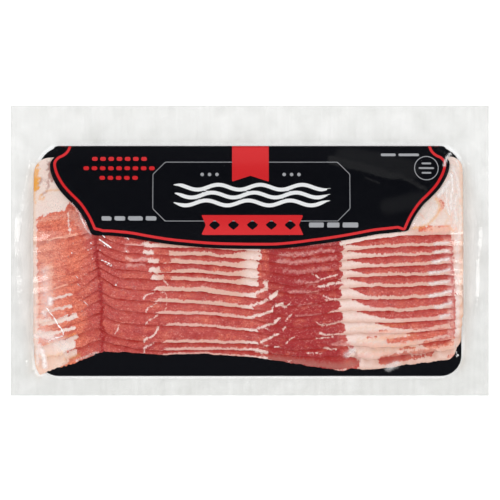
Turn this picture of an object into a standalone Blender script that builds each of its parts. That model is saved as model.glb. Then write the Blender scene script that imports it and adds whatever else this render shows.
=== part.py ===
"""Vacuum-sealed pack of sliced bacon: a shingled row of slices on a folded card, in film.

The pack lies face up. X runs along the slices, Y up the pack's face and Z out of it, and
the origin is the middle of the underside. A card lies under the slices, folds over at the
back (+Y) and comes down over the last slices as a shaped flap. The slices overlap like
shingles: the first lies at the front on the card, and each later one rests on those before
it with its front edge higher and its tail down on the card.

The stack is worked out along one line, the station, which a course then bends across the
pack: a slice's front edge keeps one station, while its Y follows the course.
"""

import math

import bmesh
import bpy
import numpy as np
from mathutils import Vector

MM = 0.001
GAP = 0.3 * MM  # left between pieces that lie on each other

# Film: two webs sealed together round the edge.
FILM_WIDTH = 292 * MM
FILM_DEPTH = 177 * MM
SEAL = 0.4 * MM  # both webs together
TENT_FOOT = 3 * MM  # how far out the film lands past its crest, at least
TENT_SLOPE = 0.32  # and for each unit of its crest's height
TENT_RIM = 0.4 * MM
TENT_CLEAR = 1.6 * MM  # from the contents' outline to the film

# Card: a base panel, a fold along the back and a flap over the slices.
CARD = 0.6 * MM
PANEL_HALF_WIDTH = 130 * MM
PANEL_FRONT = -76.5 * MM
PANEL_BACK = 64 * MM
FRONT_CORNER = 13 * MM
FOLD_HALF_LENGTH = 112 * MM
BACK_CORNER = 16 * MM
FOLD_RADIUS = 1.2 * MM
FLAP_LOWEST = 1.1 * MM  # the flap's front edge on the centre line
FLAP_RISE = 8.8 * MM  # and how much further back it lies at its corners
FLAP_CORNER = 95.2 * MM
FLAP_SIDE = [  # half width and Y down the flap's side, from the fold to the front corner
    (112.6 * MM, 64.0 * MM),
    (115.6 * MM, 60.4 * MM),
    (121.9 * MM, 53.0 * MM),
    (117.2 * MM, 41.0 * MM),
    (105.2 * MM, 27.0 * MM),
    (98.0 * MM, 15.5 * MM),
    (95.2 * MM, 9.9 * MM),
]
FLAP_CLEAR = 1.1 * MM  # from the slices' tops to the flap's middle

# Slices, from the front one to the last one.
SLICE = 2.25 * MM
FIRST_EDGE = -62.5 * MM
PITCHES = [p * MM for p in (2.8, 4.3, 9.6, 7.2, 7.2, 7.8, 5.9, 5, 5.9, 4.7, 4.3, 4.3)]
FIRST_WIDTH = 47 * MM
LAST_WIDTH = 49 * MM
LEFT_END = -131 * MM
RIGHT_END = 130.5 * MM
END_STAGGER = 1.2 * MM
EDGE_SHARE = 0.62  # of its thickness that a slice keeps at its pressed front edge
EDGE_LENGTH = 7 * MM
TAIL_SHARE = 0.3
TAIL_LENGTH = 14 * MM
LATTICE = 5 * MM  # the stations at which the stack's heights are set
CELLS = np.arange(-80 * MM, 82 * MM, LATTICE)

# Across the pack: where the slices' front edges lie, and how high the stack stands.
# A crease runs down the slices at the fourth place, and they sag to the right of the middle.
ACROSS = [x * MM for x in (-134, -122, -103, -92.5, -80, -15, 4, 27, 60, 90, 112, 134)]
COURSE = [y * MM for y in (-4.5, -3.5, 1.5, 6, 0, 0, -1.8, -0.6, -1.5, 1, 2, 3)]
SAG = [y * MM for y in (-8.5, -8.5, -6, -5, -1, 0, -2, -6, -8, -10.5, -7, -5.5)]
LOFT = [0.58, 0.86, 0.97, 0.93, 1, 1, 1, 1, 1, 1, 0.95, 0.58]
CARD_ACROSS = [x * MM for x in (-134, -122, -103, 103, 117, 134)]
CARD_LOFT = [0.58, 0.87, 1, 1, 0.93, 0.62]
SAG_STATIONS = [y * MM for y in (-60, -50, -25, 5)]
SAG_SHARES = [1, 0.5, 0.45, 0]
COURSE_ENDS = 70 * MM  # the station by which the course has faded
SET_BACK = 4.5 * MM  # how far the last slice's front edge draws back at its left end
SET_BACK_FROM = -86 * MM
SET_BACK_BY = -108 * MM

BASE_Z = SEAL + GAP  # the card's underside
STACK_Z = BASE_Z + CARD + GAP  # the first slice's underside


# ---------------------------------------------------------------- the stack


def front_edges():
    """The station of each slice's front edge."""
    return FIRST_EDGE + np.concatenate([[0], np.cumsum(PITCHES)])


EDGES = front_edges()
TAILS = EDGES + np.linspace(FIRST_WIDTH, LAST_WIDTH, len(EDGES))


def thickness(index, station):
    """A slice's thickness: less at its pressed front edge, and least at its tail."""
    front = EDGE_SHARE + (1 - EDGE_SHARE) * (station - EDGES[index]) / EDGE_LENGTH
    tail = TAIL_SHARE + (1 - TAIL_SHARE) * (TAILS[index] - station) / TAIL_LENGTH
    return SLICE * np.clip(np.minimum(front, tail), TAIL_SHARE, 1)


def reaches(index, stations):
    """Whether a slice lies at or in front of the lattice cell that holds each station."""
    return stations < TAILS[index] + LATTICE


def undersides():
    """Each slice's underside at the lattice stations, above STACK_Z."""
    level = np.zeros(len(CELLS))
    levels = []
    for index in range(len(EDGES)):
        levels.append(level.copy())
        level += np.where(reaches(index, CELLS), thickness(index, CELLS) + GAP, 0)
    return levels


UNDERSIDES = undersides()


def stack_top():
    """The stack's top at the lattice stations, never lower than the slices themselves."""
    top = np.zeros(len(CELLS))
    for index, under in enumerate(UNDERSIDES):
        covered = reaches(index, CELLS) & (CELLS > EDGES[index] - LATTICE)
        top = np.where(covered, np.maximum(top, under + thickness(index, CELLS)), top)
    return top


def eased_top():
    """The stack's top without its steps: the highest of three cells, then their mean."""
    top = np.pad(stack_top(), 2, mode="edge")
    highest = np.maximum.reduce([top[:-2], top[1:-1], top[2:]])
    return (highest[:-2] + highest[1:-1] + highest[2:]) / 3


EASED_TOP = eased_top()


def bent(x, station):
    """The Y at which stations lie, at this place across the pack.

    The course holds as far as the sag's last station and then fades, while the sag is full
    at the first edges and fades up to there.
    """
    last = SAG_STATIONS[-1]
    steady = np.minimum(1, (COURSE_ENDS - station) / (COURSE_ENDS - last))
    sagging = np.interp(station, SAG_STATIONS, SAG_SHARES)
    course = np.interp(x, ACROSS, COURSE) * steady
    return station + course + np.interp(x, ACROSS, SAG) * sagging


def straightened(x, y):
    """The station at a point of the face: bent() turned round."""
    return np.interp(y, bent(x, CELLS), CELLS)


# ---------------------------------------------------------------- modelling


def clear_scene():
    for obj in list(bpy.data.objects):
        bpy.data.objects.remove(obj, do_unlink=True)


def new_collection(name):
    collection = bpy.data.collections.new(name)
    bpy.context.scene.collection.children.link(collection)
    return collection


def new_material(name, colour, roughness, alpha=1.0):
    material = bpy.data.materials.new(name)
    material.use_nodes = True
    shader = material.node_tree.nodes["Principled BSDF"]
    shader.inputs["Base Color"].default_value = (*colour, 1)
    shader.inputs["Roughness"].default_value = roughness
    shader.inputs["Metallic"].default_value = 0
    shader.inputs["Alpha"].default_value = alpha
    return material


def flat_grid(columns, rows):
    """A grid of unit faces, so that a vertex's x and y are its column and row."""
    grid = bmesh.new()
    bmesh.ops.create_grid(grid, x_segments=columns, y_segments=rows, size=0.5)
    for vertex in grid.verts:
        vertex.co.x = round((vertex.co.x + 0.5) * columns)
        vertex.co.y = round((vertex.co.y + 0.5) * rows)
    return grid


def finished(form, name, material, collection, sharp_deg=40):
    """An object of this bmesh, shaded smooth except at its sharp edges."""
    mesh = bpy.data.meshes.new(name)
    form.to_mesh(mesh)
    form.free()
    mesh.shade_smooth()
    mesh.set_sharp_from_angle(angle=math.radians(sharp_deg))
    mesh.materials.append(material)
    obj = bpy.data.objects.new(name, mesh)
    collection.objects.link(obj)
    return obj


def solid_between(columns, rows, lower, upper):
    """A closed form between two surfaces, each a function of column and row."""
    form = flat_grid(columns, rows)
    raised = bmesh.ops.extrude_face_region(form, geom=form.faces[:])["geom"]
    top = {v for v in raised if isinstance(v, bmesh.types.BMVert)}
    for vertex in form.verts:
        surface = upper if vertex in top else lower
        vertex.co = surface(round(vertex.co.x), round(vertex.co.y))
    bmesh.ops.recalc_face_normals(form, faces=form.faces)
    return form


def lofted(loops):
    """A closed form through loops of equal length, capped at both ends."""
    form = bmesh.new()
    rings = [[form.verts.new(point) for point in loop] for loop in loops]
    for ring, following in zip(rings, rings[1:]):
        for i in range(len(ring)):
            j = (i + 1) % len(ring)
            form.faces.new((ring[i], ring[j], following[j], following[i]))
    form.faces.new(rings[0])
    form.faces.new(rings[-1])
    bmesh.ops.recalc_face_normals(form, faces=form.faces)
    return form


def curve_through(points, count):
    """Points along a smooth curve through these ones, by Catmull and Rom's formula."""
    knots = [Vector(p) for p in points]
    knots = [2 * knots[0] - knots[1], *knots, 2 * knots[-1] - knots[-2]]
    spans = len(knots) - 3
    found = []
    for step in range(count + 1):
        at = min(step * spans / count, spans - 1e-9)
        i, t = int(at), at - int(at)
        a, b, c, d = knots[i : i + 4]
        bend = (2 * a - 5 * b + 4 * c - d) * t + (3 * b - a - 3 * c + d) * t * t
        found.append(b + 0.5 * t * ((c - a) + bend))
    return found


# ---------------------------------------------------------------- slices


def slice_ends(index):
    """The X of a slice's two ends, staggered a little as laid by hand."""
    left = LEFT_END + END_STAGGER * math.sin(2.4 * index)
    right = RIGHT_END + END_STAGGER * math.sin(1.7 * index + 1)
    return left, right


def drawn_back(index, x, station):
    """A slice's station after its front edge draws back, as the last slice's left end does.

    The stations up to the next cell are squeezed together, and those past it stay.
    """
    if index < len(EDGES) - 1:
        return station
    reach = np.interp(x, [SET_BACK_BY, SET_BACK_FROM], [SET_BACK, 0])
    edge = EDGES[index]
    hold = CELLS[CELLS > edge + SET_BACK][0]
    return station + reach * max(0.0, (hold - station) / (hold - edge))


def build_slice(index, material, collection):
    """One slice: a bent plate between its underside and its top."""
    left, right = slice_ends(index)
    across = [left, *ACROSS[1:-1], right]
    edge, tail = EDGES[index], TAILS[index]
    along = [edge, *(s for s in CELLS if edge + MM < s < tail - MM), tail]
    under = UNDERSIDES[index]
    top = under + thickness(index, CELLS)

    def surface(levels):
        def at(column, row):
            x = across[column]
            station = drawn_back(index, x, along[row])
            height = np.interp(x, ACROSS, LOFT) * np.interp(station, CELLS, levels)
            return Vector((x, bent(x, station), STACK_Z + height))

        return at

    form = solid_between(len(across) - 1, len(along) - 1, surface(under), surface(top))
    return finished(form, f"slice_{index + 1:02d}", material, collection)


# ---------------------------------------------------------------- card


def rounded_share(distance, radius):
    """How far in an elliptical corner of this depth lies: 1 at its end, 0 past it."""
    short = max(0.0, 1 - distance / radius)
    return 1 - math.sqrt(1 - short * short)


def panel_row(y):
    """The panel's half width at this Y."""
    front = FRONT_CORNER * rounded_share(y - PANEL_FRONT, FRONT_CORNER)
    narrowing = PANEL_HALF_WIDTH - FOLD_HALF_LENGTH
    back = narrowing * rounded_share(PANEL_BACK - y, BACK_CORNER)
    return PANEL_HALF_WIDTH - front - back


def panel_rows():
    """The Y of the panel's rows, close together round its corners."""
    turns = [1 - math.cos(math.radians(a)) for a in (0, 22, 44, 66, 90)]
    front = [PANEL_FRONT + FRONT_CORNER * t for t in turns]
    back = [PANEL_BACK - BACK_CORNER * t for t in turns[:1:-1]]
    return front + [-20 * MM, 25 * MM] + back + [fold_centre()]


def fold_centre():
    return PANEL_BACK - CARD / 2 - FOLD_RADIUS


def flap_height(x, y):
    """The flap's middle: over the stack's eased top, and never below the fold."""
    loft = np.interp(x, CARD_ACROSS, CARD_LOFT)
    over = loft * np.interp(straightened(x, y), CELLS, EASED_TOP)
    fold_top = BASE_Z + CARD / 2 + 2 * FOLD_RADIUS
    return max(fold_top, STACK_Z + over + FLAP_CLEAR)


def flap_rows(columns, rows):
    """The flap as a patch between the fold, its two sides and its arched front edge."""
    side = curve_through(FLAP_SIDE, rows)
    start = side[0]
    patch = []
    for row in range(rows + 1):
        v = row / rows
        line = []
        for column in range(columns + 1):
            u = 2 * column / columns - 1
            arch_x = u * FLAP_CORNER
            arch = FLAP_LOWEST + FLAP_RISE * math.sin(math.pi / 2 * u) ** 2
            x = u * side[row].x
            y = side[row].y + v * (arch - side[-1].y)
            x += v * (arch_x - u * side[-1].x)
            y -= (1 - v) * (start.y - fold_centre())
            line.append(Vector((x, y, flap_height(x, y))))
        patch.append(line)
    return patch


def build_card(material, collection, columns=18, fold_steps=4, flap_steps=10):
    """The card: one sheet from the panel's front edge, round the fold and down the flap."""
    middle = BASE_Z + CARD / 2
    path = []
    for y in panel_rows():
        half = panel_row(y)
        path.append(
            [Vector(((2 * c / columns - 1) * half, y, middle)) for c in range(columns + 1)]
        )
    flap = flap_rows(columns, flap_steps)
    first, last = path[-1], flap[0]
    for step in range(1, fold_steps):
        turn = math.pi * step / fold_steps
        share = (1 - math.cos(turn)) / 2
        out = Vector((0, FOLD_RADIUS * math.sin(turn), 0))
        path.append([a.lerp(b, share) + out for a, b in zip(first, last)])
    path += flap
    form = flat_grid(columns, len(path) - 1)
    for vertex in form.verts:
        vertex.co = path[round(vertex.co.y)][round(vertex.co.x)]
    card = finished(form, "card", material, collection)
    wall = card.modifiers.new("Thickness", "SOLIDIFY")
    wall.thickness = CARD
    wall.offset = 0
    return card


# ---------------------------------------------------------------- film


def contents_outline(side_steps=10, long_steps=4, corner_steps=4, corner=9 * MM):
    """Points round the contents with the matching points of the film's edge."""
    left, right = -132.5 * MM - TENT_CLEAR, 132 * MM + TENT_CLEAR
    front, back = PANEL_FRONT - TENT_CLEAR, PANEL_BACK + TENT_CLEAR
    film = Vector((FILM_WIDTH / 2, FILM_DEPTH / 2))
    corners = [
        (Vector((right - corner, back - corner)), 0, long_steps),
        (Vector((left + corner, back - corner)), 90, side_steps),
        (Vector((left + corner, front + corner)), 180, long_steps),
        (Vector((right - corner, front + corner)), 270, side_steps),
    ]
    inner, outer = [], []
    for i, (centre, start, steps) in enumerate(corners):
        sides = Vector((math.copysign(1, centre.x), math.copysign(1, centre.y)))
        for step in range(corner_steps + 1):
            angle = math.radians(start + 90 * step / corner_steps)
            way = Vector((math.cos(angle), math.sin(angle)))
            inner.append(centre + corner * way)
            share = [min(1.0, abs(c) * math.sqrt(2)) for c in way]
            reach = [(sides[k] * film[k] - centre[k]) * share[k] for k in (0, 1)]
            outer.append(centre + Vector(reach))
        following = corners[(i + 1) % len(corners)][0]
        turn = math.radians(start + 90)
        way = Vector((math.cos(turn), math.sin(turn)))
        for step in range(1, steps):
            at = centre.lerp(following, step / steps)
            inner.append(at + corner * way)
            edge = [sides[k] * film[k] if abs(way[k]) > 0.5 else at[k] for k in (0, 1)]
            outer.append(Vector(edge))
    return inner, outer


def crest_height(point):
    """How high the film stands beside the contents at this point of their outline."""
    loft = np.interp(point.x, ACROSS, LOFT)
    beside = loft * np.interp(straightened(point.x, point.y), CELLS, EASED_TOP)
    card_edge = BASE_Z + CARD
    if point.y > fold_centre():
        card_edge += 2 * FOLD_RADIUS
    return max(card_edge, STACK_Z + 0.88 * beside)


def build_film(material, collection):
    """The pouch: the sealed webs, and the slope where the film comes down all round."""
    inner, outer = contents_outline()
    heights = [crest_height(p) for p in inner]

    def ring(points, levels):
        return [Vector((p.x, p.y, z)) for p, z in zip(points, levels)]

    def outward(distances):
        moved = []
        for a, b, distance in zip(inner, outer, distances):
            way = b - a
            moved.append(a + way.normalized() * min(distance, 0.9 * way.length))
        return moved

    count = len(inner)
    sealed = [SEAL] * count
    feet = outward([TENT_RIM + TENT_FOOT + TENT_SLOPE * z for z in heights])
    rim = outward([TENT_RIM] * count)
    loops = [
        ring(outer, [0] * count),
        ring(outer, sealed),
        ring(feet, sealed),
        ring(rim, heights),
        ring(inner, heights),
        ring(inner, sealed),
    ]
    return finished(lofted(loops), "film", material, collection, sharp_deg=30)


def main():
    clear_scene()
    pack = new_collection("bacon_pack")
    clear_film = new_material("clear_film", (0.86, 0.87, 0.85), 0.2, alpha=0.35)
    black_card = new_material("black_card", (0.012, 0.012, 0.014), 0.35)
    bacon = new_material("bacon", (0.62, 0.17, 0.13), 0.4)
    build_film(clear_film, pack)
    build_card(black_card, pack)
    for index in range(len(EDGES)):
        build_slice(index, bacon, pack)


main()
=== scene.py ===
"""Looks of a vacuum-sealed bacon pack: shingled slices on a folded black card, in clear film.

The pack lies face up. X runs along the slices, Y up the pack's face and Z out of it. Every
size here is in millimetres, and turns into metres as a mesh is made.
"""

from __future__ import annotations

import enum
import logging
import math
from dataclasses import dataclass

import bpy
import numpy as np
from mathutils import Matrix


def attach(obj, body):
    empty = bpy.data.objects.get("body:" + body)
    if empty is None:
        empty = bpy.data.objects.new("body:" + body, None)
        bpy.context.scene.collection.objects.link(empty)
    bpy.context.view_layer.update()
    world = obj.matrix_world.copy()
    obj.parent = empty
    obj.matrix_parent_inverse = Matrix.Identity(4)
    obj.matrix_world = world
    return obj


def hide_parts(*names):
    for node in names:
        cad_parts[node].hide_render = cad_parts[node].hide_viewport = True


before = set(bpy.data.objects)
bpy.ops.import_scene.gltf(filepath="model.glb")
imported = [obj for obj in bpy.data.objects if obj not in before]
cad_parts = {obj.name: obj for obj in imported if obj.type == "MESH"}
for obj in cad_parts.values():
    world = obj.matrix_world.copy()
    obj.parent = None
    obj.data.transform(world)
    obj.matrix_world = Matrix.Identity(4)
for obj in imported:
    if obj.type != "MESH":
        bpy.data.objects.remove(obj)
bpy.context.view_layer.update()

log = logging.getLogger("bacon_pack")

MM = 0.001
BODY = "root"

Array = np.ndarray
Colour = tuple[float, float, float]
EVEN = (1.0, 1.0, 1.0)
FAR_OUT = 9.0


# ---------------------------------------------------------------- shaping tools


def swell(x: Array, y: Array, size: float, seed: int, waves: int = 14) -> Array:
    """Return smooth unevenness about as wide as one size, with a spread of about one.

    It is the sum of sine waves whose lengths lie round that size, in random directions and
    phases, divided by the root of half their number.

    Args:
        x: Places along the pack.
        y: Places up the pack, of a shape that fits x.
        size: The waves' middle length.
        seed: Picks the waves.
        waves: How many there are.

    Returns:
        The unevenness at each place.
    """
    draw = np.random.default_rng(seed)
    turns = draw.uniform(0, 2 * np.pi, waves)
    paces = 2 * np.pi / size * draw.uniform(0.6, 1.5, waves)
    phases = draw.uniform(0, 2 * np.pi, waves)
    total = np.zeros(np.broadcast(x, y).shape)
    for turn, pace, phase in zip(turns, paces, phases):
        total += np.sin(pace * (x * math.cos(turn) + y * math.sin(turn)) + phase)
    return total / math.sqrt(waves / 2)


def eased(x: Array, knots: tuple, values: tuple, blur: float = 3.0) -> Array:
    """Return a line through knots with its corners rounded off.

    It is the mean of the broken line at five places within one blur to either side.

    Args:
        x: Where to read the line.
        knots: The knots' places, rising.
        values: The line's values there.
        blur: How far to either side the mean reaches.

    Returns:
        The line's values at x.
    """
    shares = ((-1, 1), (-0.5, 2), (0, 2), (0.5, 2), (1, 1))
    return sum(w * np.interp(x + blur * o, knots, values) for o, w in shares) / 8


def smooth_step(value: Array, low: float, high: float) -> Array:
    """Return 0 below low, 1 above high and an S-shaped rise between them."""
    share = np.clip((value - low) / (high - low), 0, 1)
    return share * share * (3 - 2 * share)


def window(value: Array, rise: float, full: float, fade: float, end: float) -> Array:
    """Return 1 from full to fade, falling smoothly to 0 at rise and at end."""
    return smooth_step(value, rise, full) * (1 - smooth_step(value, fade, end))


def rounding(distance: Array, radius: float) -> Array:
    """Return how far a quarter round cuts in, as a share of its radius.

    It is 1 less the square root of 1 - u squared, where u falls from 1 at the border to 0
    one radius inside it.
    """
    return 1 - np.sqrt(1 - np.clip(1 - distance / radius, 0, 1) ** 2)


def blurred(line: Array, reach: int, spread: float) -> Array:
    """Return a row of values, each averaged with its neighbours by a bell curve."""
    bell = np.exp(-((np.arange(-reach, reach + 1) / spread) ** 2))
    return np.convolve(np.pad(line, reach, mode="edge"), bell / bell.sum(), "valid")


def highest_beside(web: Array) -> tuple[Array, Array, Array]:
    """Return each place's highest neighbour along X, along Y and slantwise."""
    wide = np.pad(web, 1, mode="edge")
    along = np.maximum(wide[:-2, 1:-1], wide[2:, 1:-1])
    up = np.maximum(wide[1:-1, :-2], wide[1:-1, 2:])
    slant = np.max([wide[:-2, :-2], wide[2:, 2:], wide[:-2, 2:], wide[2:, :-2]], 0)
    return along, up, slant


def to_polyline(x: Array, y: Array, points: Array) -> Array:
    """Return the distance from each place to a broken line.

    It is the least of the distances to the line's pieces, each measured to the nearest
    point between the piece's ends.

    Args:
        x: Places along the pack.
        y: Places up the pack.
        points: The line's corners, as rows of x and y.

    Returns:
        The distances, never negative.
    """
    nearest = np.full(np.broadcast(x, y).shape, np.inf)
    for (ax, ay), (bx, by) in zip(points[:-1], points[1:]):
        run, rise = bx - ax, by - ay
        share = ((x - ax) * run + (y - ay) * rise) / max(run * run + rise * rise, 1e-9)
        share = np.clip(share, 0, 1)
        nearest = np.minimum(nearest, np.hypot(x - ax - share * run, y - ay - share * rise))
    return nearest


def smooth_line(points: tuple, count: int) -> Array:
    """Return places along a smooth curve through points, by Catmull and Rom's formula."""
    knots = np.array(points, float)
    knots = np.vstack([2 * knots[0] - knots[1], knots, 2 * knots[-1] - knots[-2]])
    at = np.linspace(0, len(knots) - 3 - 1e-9, count)
    i = at.astype(int)
    t = (at - i)[:, None]
    a, b, c, d = (knots[i + step] for step in range(4))
    bend = (2 * a - 5 * b + 4 * c - d) * t + (3 * b - a - 3 * c + d) * t * t
    return b + 0.5 * t * ((c - a) + bend)


def softened(web: Array, passes: int) -> Array:
    """Return a grid of heights, each averaged with its neighbours a number of times."""
    for _ in range(passes):
        wide = np.pad(web, 1, mode="edge")
        web = (wide[:-2, 1:-1] + 2 * wide[1:-1, 1:-1] + wide[2:, 1:-1]) / 4
        wide = np.pad(web, 1, mode="edge")
        web = (wide[1:-1, :-2] + 2 * wide[1:-1, 1:-1] + wide[1:-1, 2:]) / 4
    return web


def box_distance(x: Array, y: Array, width: float, height: float, corner: float) -> Array:
    """Return the signed distance to a rounded box about the origin, less than 0 inside."""
    across = np.abs(x) - width / 2 + corner
    up = np.abs(y) - height / 2 + corner
    outside = np.hypot(np.maximum(across, 0), np.maximum(up, 0))
    return outside + np.minimum(np.maximum(across, up), 0) - corner


class Ends(enum.Enum):
    """How the two open ends of a row of rings are closed."""

    STRIP = "pairs each point with the one across the ring"
    POLYGON = "one flat face"


def closed_mesh(name: str, rings: Array, ends: Ends, fields: dict[str, Array]) -> bpy.types.Object:
    """Make a closed piece from a row of rings, each joined to the next by four-sided faces.

    Args:
        name: The piece's name.
        rings: Points in millimetres, as ring, point in the ring, and axis.
        ends: How the first and the last ring are closed.
        fields: Values to store at the points, each as ring and point.

    Returns:
        The new object, smooth-shaded, with its faces pointing out.
    """
    count, size = rings.shape[:2]
    ring = np.arange(count - 1)[:, None] * size
    here = np.arange(size)[None, :]
    following = (here + 1) % size
    quads = np.stack([ring + here, ring + following, ring + size + following, ring + size + here], 2)
    quads = quads.reshape(-1, 4)
    points = rings.reshape(-1, 3) * MM
    polygons = []
    if ends is Ends.STRIP:
        near = np.arange(size // 2 - 1)
        strip = np.stack([near, size - 1 - near, size - 2 - near, near + 1], 1)
        quads = np.vstack([quads, strip, strip[:, ::-1] + (count - 1) * size])
    else:
        first = list(range(size))
        polygons = [first[::-1], [i + (count - 1) * size for i in first]]
    corners = points[quads]
    volume = np.einsum("ij,ij->", corners[:, 0], np.cross(corners[:, 1], corners[:, 2]))
    volume += np.einsum("ij,ij->", corners[:, 0], np.cross(corners[:, 2], corners[:, 3]))
    faces = quads.tolist() + polygons
    if volume < 0:
        faces = [face[::-1] for face in faces]
    mesh = bpy.data.meshes.new(name)
    mesh.from_pydata(points.tolist(), [], faces)
    for label, values in fields.items():
        layer = mesh.attributes.new(label, "FLOAT", "POINT")
        layer.data.foreach_set("value", np.ascontiguousarray(values, np.float32).ravel())
    mesh.validate()
    mesh.shade_smooth()
    mesh.set_sharp_from_angle(angle=math.radians(50))
    piece = bpy.data.objects.new(name, mesh)
    bpy.context.scene.collection.objects.link(piece)
    return piece


def place(piece: bpy.types.Object, node: str, slot: str, material: bpy.types.Material) -> None:
    """Dress a piece, ride it on the pack's body and let it stand for its CAD node."""
    piece.data.materials.append(material)
    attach(piece, BODY)
    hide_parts(node)
    log.info("%s: %d faces in the %s finish", piece.name, len(piece.data.polygons), slot)


# ---------------------------------------------------------------- how the slices lie


ACROSS = (
    -131.8, -115.9, -103.7, -92.1, -87.8, -82.9, -78.1, -67.1, -54.8,
    -29.8, 2.6, 27.6, 55.8, 73.5, 91.8, 121.7, 130.9,
)  # fmt: skip
FRONTS = (
    (-76.5, -72.6, -67.4, -62.5, -62.0, -62.0, -62.2, -62.8, -63.3,
     -63.1, -64.7, -68.9, -73.4, -72.3, -70.5, -66.4, -64.3),
    (-68.0, -63.1, -58.2, -54.2, -55.6, -57.1, -58.1, -60.2, -60.9,
     -60.4, -61.1, -64.6, -64.3, -66.1, -64.1, -60.9, -59.1),
    (-60.0, -54.8, -50.9, -46.3, -49.6, -52.2, -53.5, -55.2, -56.2,
     -56.1, -56.9, -60.9, -57.9, -58.8, -59.1, -53.9, -53.0),
    (-51.8, -47.2, -43.2, -37.6, -39.9, -42.7, -43.8, -45.0, -45.7,
     -46.0, -49.3, -54.4, -50.9, -50.6, -50.6, -47.5, -46.9),
    (-45.4, -41.1, -37.1, -30.0, -31.9, -35.1, -36.3, -37.5, -38.5,
     -38.8, -41.8, -47.4, -43.5, -43.7, -43.9, -41.7, -41.1),
    (-39.3, -35.0, -30.7, -23.4, -26.1, -28.7, -29.5, -30.5, -31.3,
     -32.2, -35.6, -40.6, -36.8, -36.8, -37.1, -34.7, -34.4),
    (-33.1, -29.2, -24.0, -14.5, -17.7, -21.1, -22.7, -23.5, -24.4,
     -25.1, -28.7, -34.1, -29.5, -29.5, -29.6, -27.6, -27.6),
    (-27.0, -22.8, -17.6, -9.9, -12.3, -14.8, -16.5, -17.1, -17.7,
     -18.4, -21.2, -26.8, -22.8, -22.1, -21.8, -20.9, -20.9),
    (-20.3, -16.0, -11.8, -5.0, -8.1, -10.5, -11.4, -12.1, -13.2,
     -13.6, -16.8, -21.5, -16.8, -15.7, -15.2, -14.8, -15.1),
    (-13.6, -9.9, -6.3, 0.8, -2.6, -5.0, -6.6, -6.9, -7.7,
     -8.0, -11.2, -15.2, -11.6, -10.2, -9.5, -7.5, -7.8),
    (-8.1, -5.0, -1.4, 4.7, 2.6, 0.5, -0.9, -1.7, -2.5,
     -3.1, -5.3, -9.1, -5.7, -4.1, -3.2, -1.7, -2.0),
    (-2.0, 0.5, 4.1, 9.6, 7.5, 5.3, 3.8, 2.9, 2.0,
     1.7, -0.2, -4.4, -0.5, 1.4, 2.3, 3.2, 2.9),
    (4.7, 7.5, 9.3, 12.1, 11.2, 9.0, 7.5, 6.6, 6.0,
     5.3, 3.8, 0.5, 3.3, 6.6, 9.0, 9.7, 9.6),
)  # fmt: skip


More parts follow.
